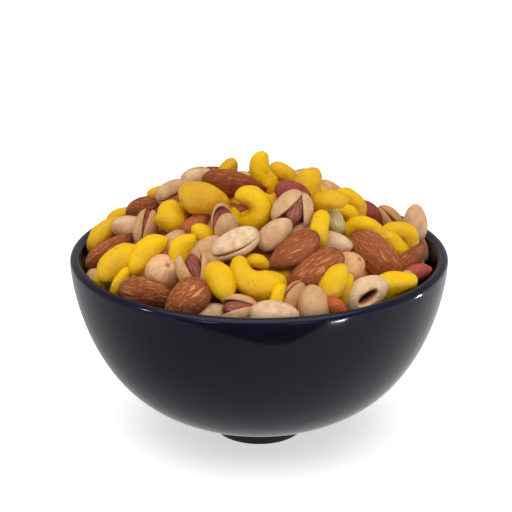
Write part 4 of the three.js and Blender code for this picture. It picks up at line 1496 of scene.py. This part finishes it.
# Small lamps, by where they glint: the bearing round the lip and how far the lip's face
# leans up there, in degrees, and the lamp's width and length.
GLINTS = [(22.6, 2.5, 0.024, 0.056), (11.5, 10, 0.03, 0.024), (-14.7, 14, 0.034, 0.018),
          (-33.5, 30, 0.016, 0.01), (52.5, 1.5, 0.014, 0.008)]

# A black card that only reflections see: how far in front of the axis it stands, and its
# outline.
CARD_STAND = 0.137
CARD_OUTLINE = [
    (-0.11, 0.084), (-0.11, 0.0305), (-0.025, 0.0165), (0.01, 0.0065), (0.035, 0.0065),
    (0.07, 0.0195), (0.12, 0.0305), (0.12, 0.084),
]
CARD_COLOUR = (0.004, 0.004, 0.012, 1)

# The glowing grey card over the floor, whose glow only reflections see: its height and half
# width, how far across its shades run, and each shade with its place in that run.
GROUND_CARD_RISE = 0.001
GROUND_CARD_HALF = 2.5
GROUND_CARD_RUN = 0.6
GROUND_CARD_SHADES = [
    (0.0, 0.3), (0.33, 0.7), (0.44, 0.5), (0.5, 0.64), (0.56, 0.76), (0.67, 0.9),
]


def add_lamp(name, place, aim, size, power):
    """A rectangular softbox that faces a point."""
    light = bpy.data.lights.new(name, "AREA")
    light.shape = "RECTANGLE"
    light.size, light.size_y = size
    light.energy = power
    lamp = new_object(name, light)
    lamp.location = place
    lamp.rotation_euler = (Vector(aim) - Vector(place)).to_track_quat("-Z", "Y").to_euler()
    return lamp


def leave_to_reflections(thing):
    """Hides a thing from the camera and from what it would light."""
    thing.visible_camera = False
    thing.visible_diffuse = False


def add_glint(index, bearing, lean, width, length, radiance):
    """A lamp placed where the camera sees it mirrored in the lip at a bearing."""
    angle, lean = math.radians(bearing), math.radians(lean)
    level = Vector((math.sin(angle), -math.cos(angle), 0))
    normal = level * math.cos(lean) + Vector((0, 0, math.sin(lean)))
    at = (level * RIM_RADIUS + Vector((0, 0, WIDEST_HEIGHT))) * MM
    view = (Vector(VIEW_EYE * MM) - at).normalized()
    mirrored = 2 * normal.dot(view) * normal - view
    power = radiance * math.pi * width * length
    leave_to_reflections(
        add_lamp(f"glint {index}", at + GLINT_REACH * mirrored, at, (width, length), power))


def new_sheet(name, corners, material):
    sheet = new_object(name, new_mesh(name, corners, [range(len(corners))]))
    sheet.data.materials.append(material)
    return sheet


def square_corners(half, height):
    return [(-half, -half, height), (half, -half, height), (half, half, height),
            (-half, half, height)]


def add_floor(settings):
    """The plain pale floor, which glows a little, so that it stays white."""
    material, tree, paint = new_material("pale floor", 0.9, 0.1, Emission_Strength=0.55)
    shade = ramp(tree, fine_noise(tree, 0.08), 0.0, 1.0, 0.98, 1.0)
    tint = mix_colours(tree, shade, opaque((0.0, 0.0, 0.0)), opaque(settings.floor_colour))
    tree.links.new(tint, paint.inputs["Base Color"])
    floor = new_sheet("floor", square_corners(FLOOR_HALF, 0), material)


def add_card():
    """The black card in front of the bowl, which darkens the wall under the front lip."""
    material, _, paint = new_material("black card", 1.0, 0.0)
    paint.inputs["Base Color"].default_value = CARD_COLOUR
    card = new_sheet("black_card", [(x, -CARD_STAND, z) for x, z in CARD_OUTLINE], material)
    leave_to_reflections(card)
    card.visible_shadow = False


def add_ground_card():
    """A card just over the floor, glowing in greys across, whose painted light only reflections
    see.
    """
    material, tree, paint = new_material("ground card", 1.0, 0.0, Emission_Strength=1.0)
    paint.inputs["Base Color"].default_value = (0, 0, 0, 1)
    across = axes_of(tree, object_place(tree))["X"]
    run = ramp(tree, across, -GROUND_CARD_RUN, GROUND_CARD_RUN)
    shades = add_node(tree, "ShaderNodeValToRGB", {"Fac": run})
    stops = shades.color_ramp.elements
    while len(stops) < len(GROUND_CARD_SHADES):
        stops.new(0.5)
    for stop, (position, shade) in zip(stops, GROUND_CARD_SHADES):
        stop.position = position
        stop.color = (shade, shade, shade, 1)
    tree.links.new(shades.outputs["Color"], paint.inputs["Emission Color"])
    card = new_sheet(
        "ground_card", square_corners(GROUND_CARD_HALF, GROUND_CARD_RISE), material)
    leave_to_reflections(card)
    card.visible_shadow = False


class NUTS_OT_stage(Operator):
    """Set the pale floor, the soft light and the camera"""

    bl_idname = "nuts.stage"
    bl_label = "Stage"

    def execute(self, context):
        scene = context.scene
        settings = scene.nut_stage
        add_floor(settings)

        world = bpy.data.worlds.new("white studio")
        world.use_nodes = True
        sky = world.node_tree.nodes["Background"].inputs
        sky["Color"].default_value = (1, 1, 1, 1)
        sky["Strength"].default_value = settings.sky
        scene.world = world
        add_lamp(
            "ceiling", (0, CEILING_FORWARD, CEILING_HEIGHT), (0, 0, 0),
            (CEILING_SIZE, CEILING_SIZE), settings.ceiling_power)
        for index, glint in enumerate(GLINTS):
            add_glint(index, *glint, settings.glint_radiance)
        add_card()
        add_ground_card()

        camera = bpy.data.cameras.new("camera")
        camera.sensor_width = SENSOR_WIDTH
        camera.lens = VIEW_FOCAL * SENSOR_WIDTH / VIEW_SIZE
        eye = new_object("camera", camera)
        eye.location = Vector(VIEW_EYE * MM)
        eye.rotation_euler = Matrix(VIEW_AXES.tolist()).to_euler()
        scene.camera = eye
        scene.view_settings.view_transform = "Standard"
        return {"FINISHED"}


class NUTS_PT_panel(Panel):
    """The pieces of the bowl of nuts, and their settings"""

    bl_idname = "NUTS_PT_panel"
    bl_label = "Bowl of Mixed Nuts"
    bl_space_type = "VIEW_3D"
    bl_region_type = "UI"
    bl_category = "Nuts"

    def draw(self, context):
        for group in SETTINGS:
            box = self.layout.box()
            for name in group.__annotations__:
                box.prop(getattr(context.scene, SETTINGS[group]), name)
        for operator in OPERATORS:
            self.layout.operator(operator.bl_idname)


SETTINGS = {BowlSettings: "nut_bowl", NutSettings: "nut_heap", StageSettings: "nut_stage"}
OPERATORS = (
    NUTS_OT_bowl, NUTS_OT_core, NUTS_OT_cashews, NUTS_OT_almonds, NUTS_OT_pistachios,
    NUTS_OT_hazelnuts, NUTS_OT_peanuts, NUTS_OT_stage,
)


def register():
    for kind in (*SETTINGS, *OPERATORS, NUTS_PT_panel):
        bpy.utils.register_class(kind)
    for group, name in SETTINGS.items():
        setattr(bpy.types.Scene, name, PointerProperty(type=group))


def unregister():
    for name in SETTINGS.values():
        delattr(bpy.types.Scene, name)
    for kind in reversed((*SETTINGS, *OPERATORS, NUTS_PT_panel)):
        bpy.utils.unregister_class(kind)


def main():
    register()
    for operator in OPERATORS:
        family, name = operator.bl_idname.split(".")
        getattr(getattr(bpy.ops, family), name)()


if __name__ == "__main__":
    main()
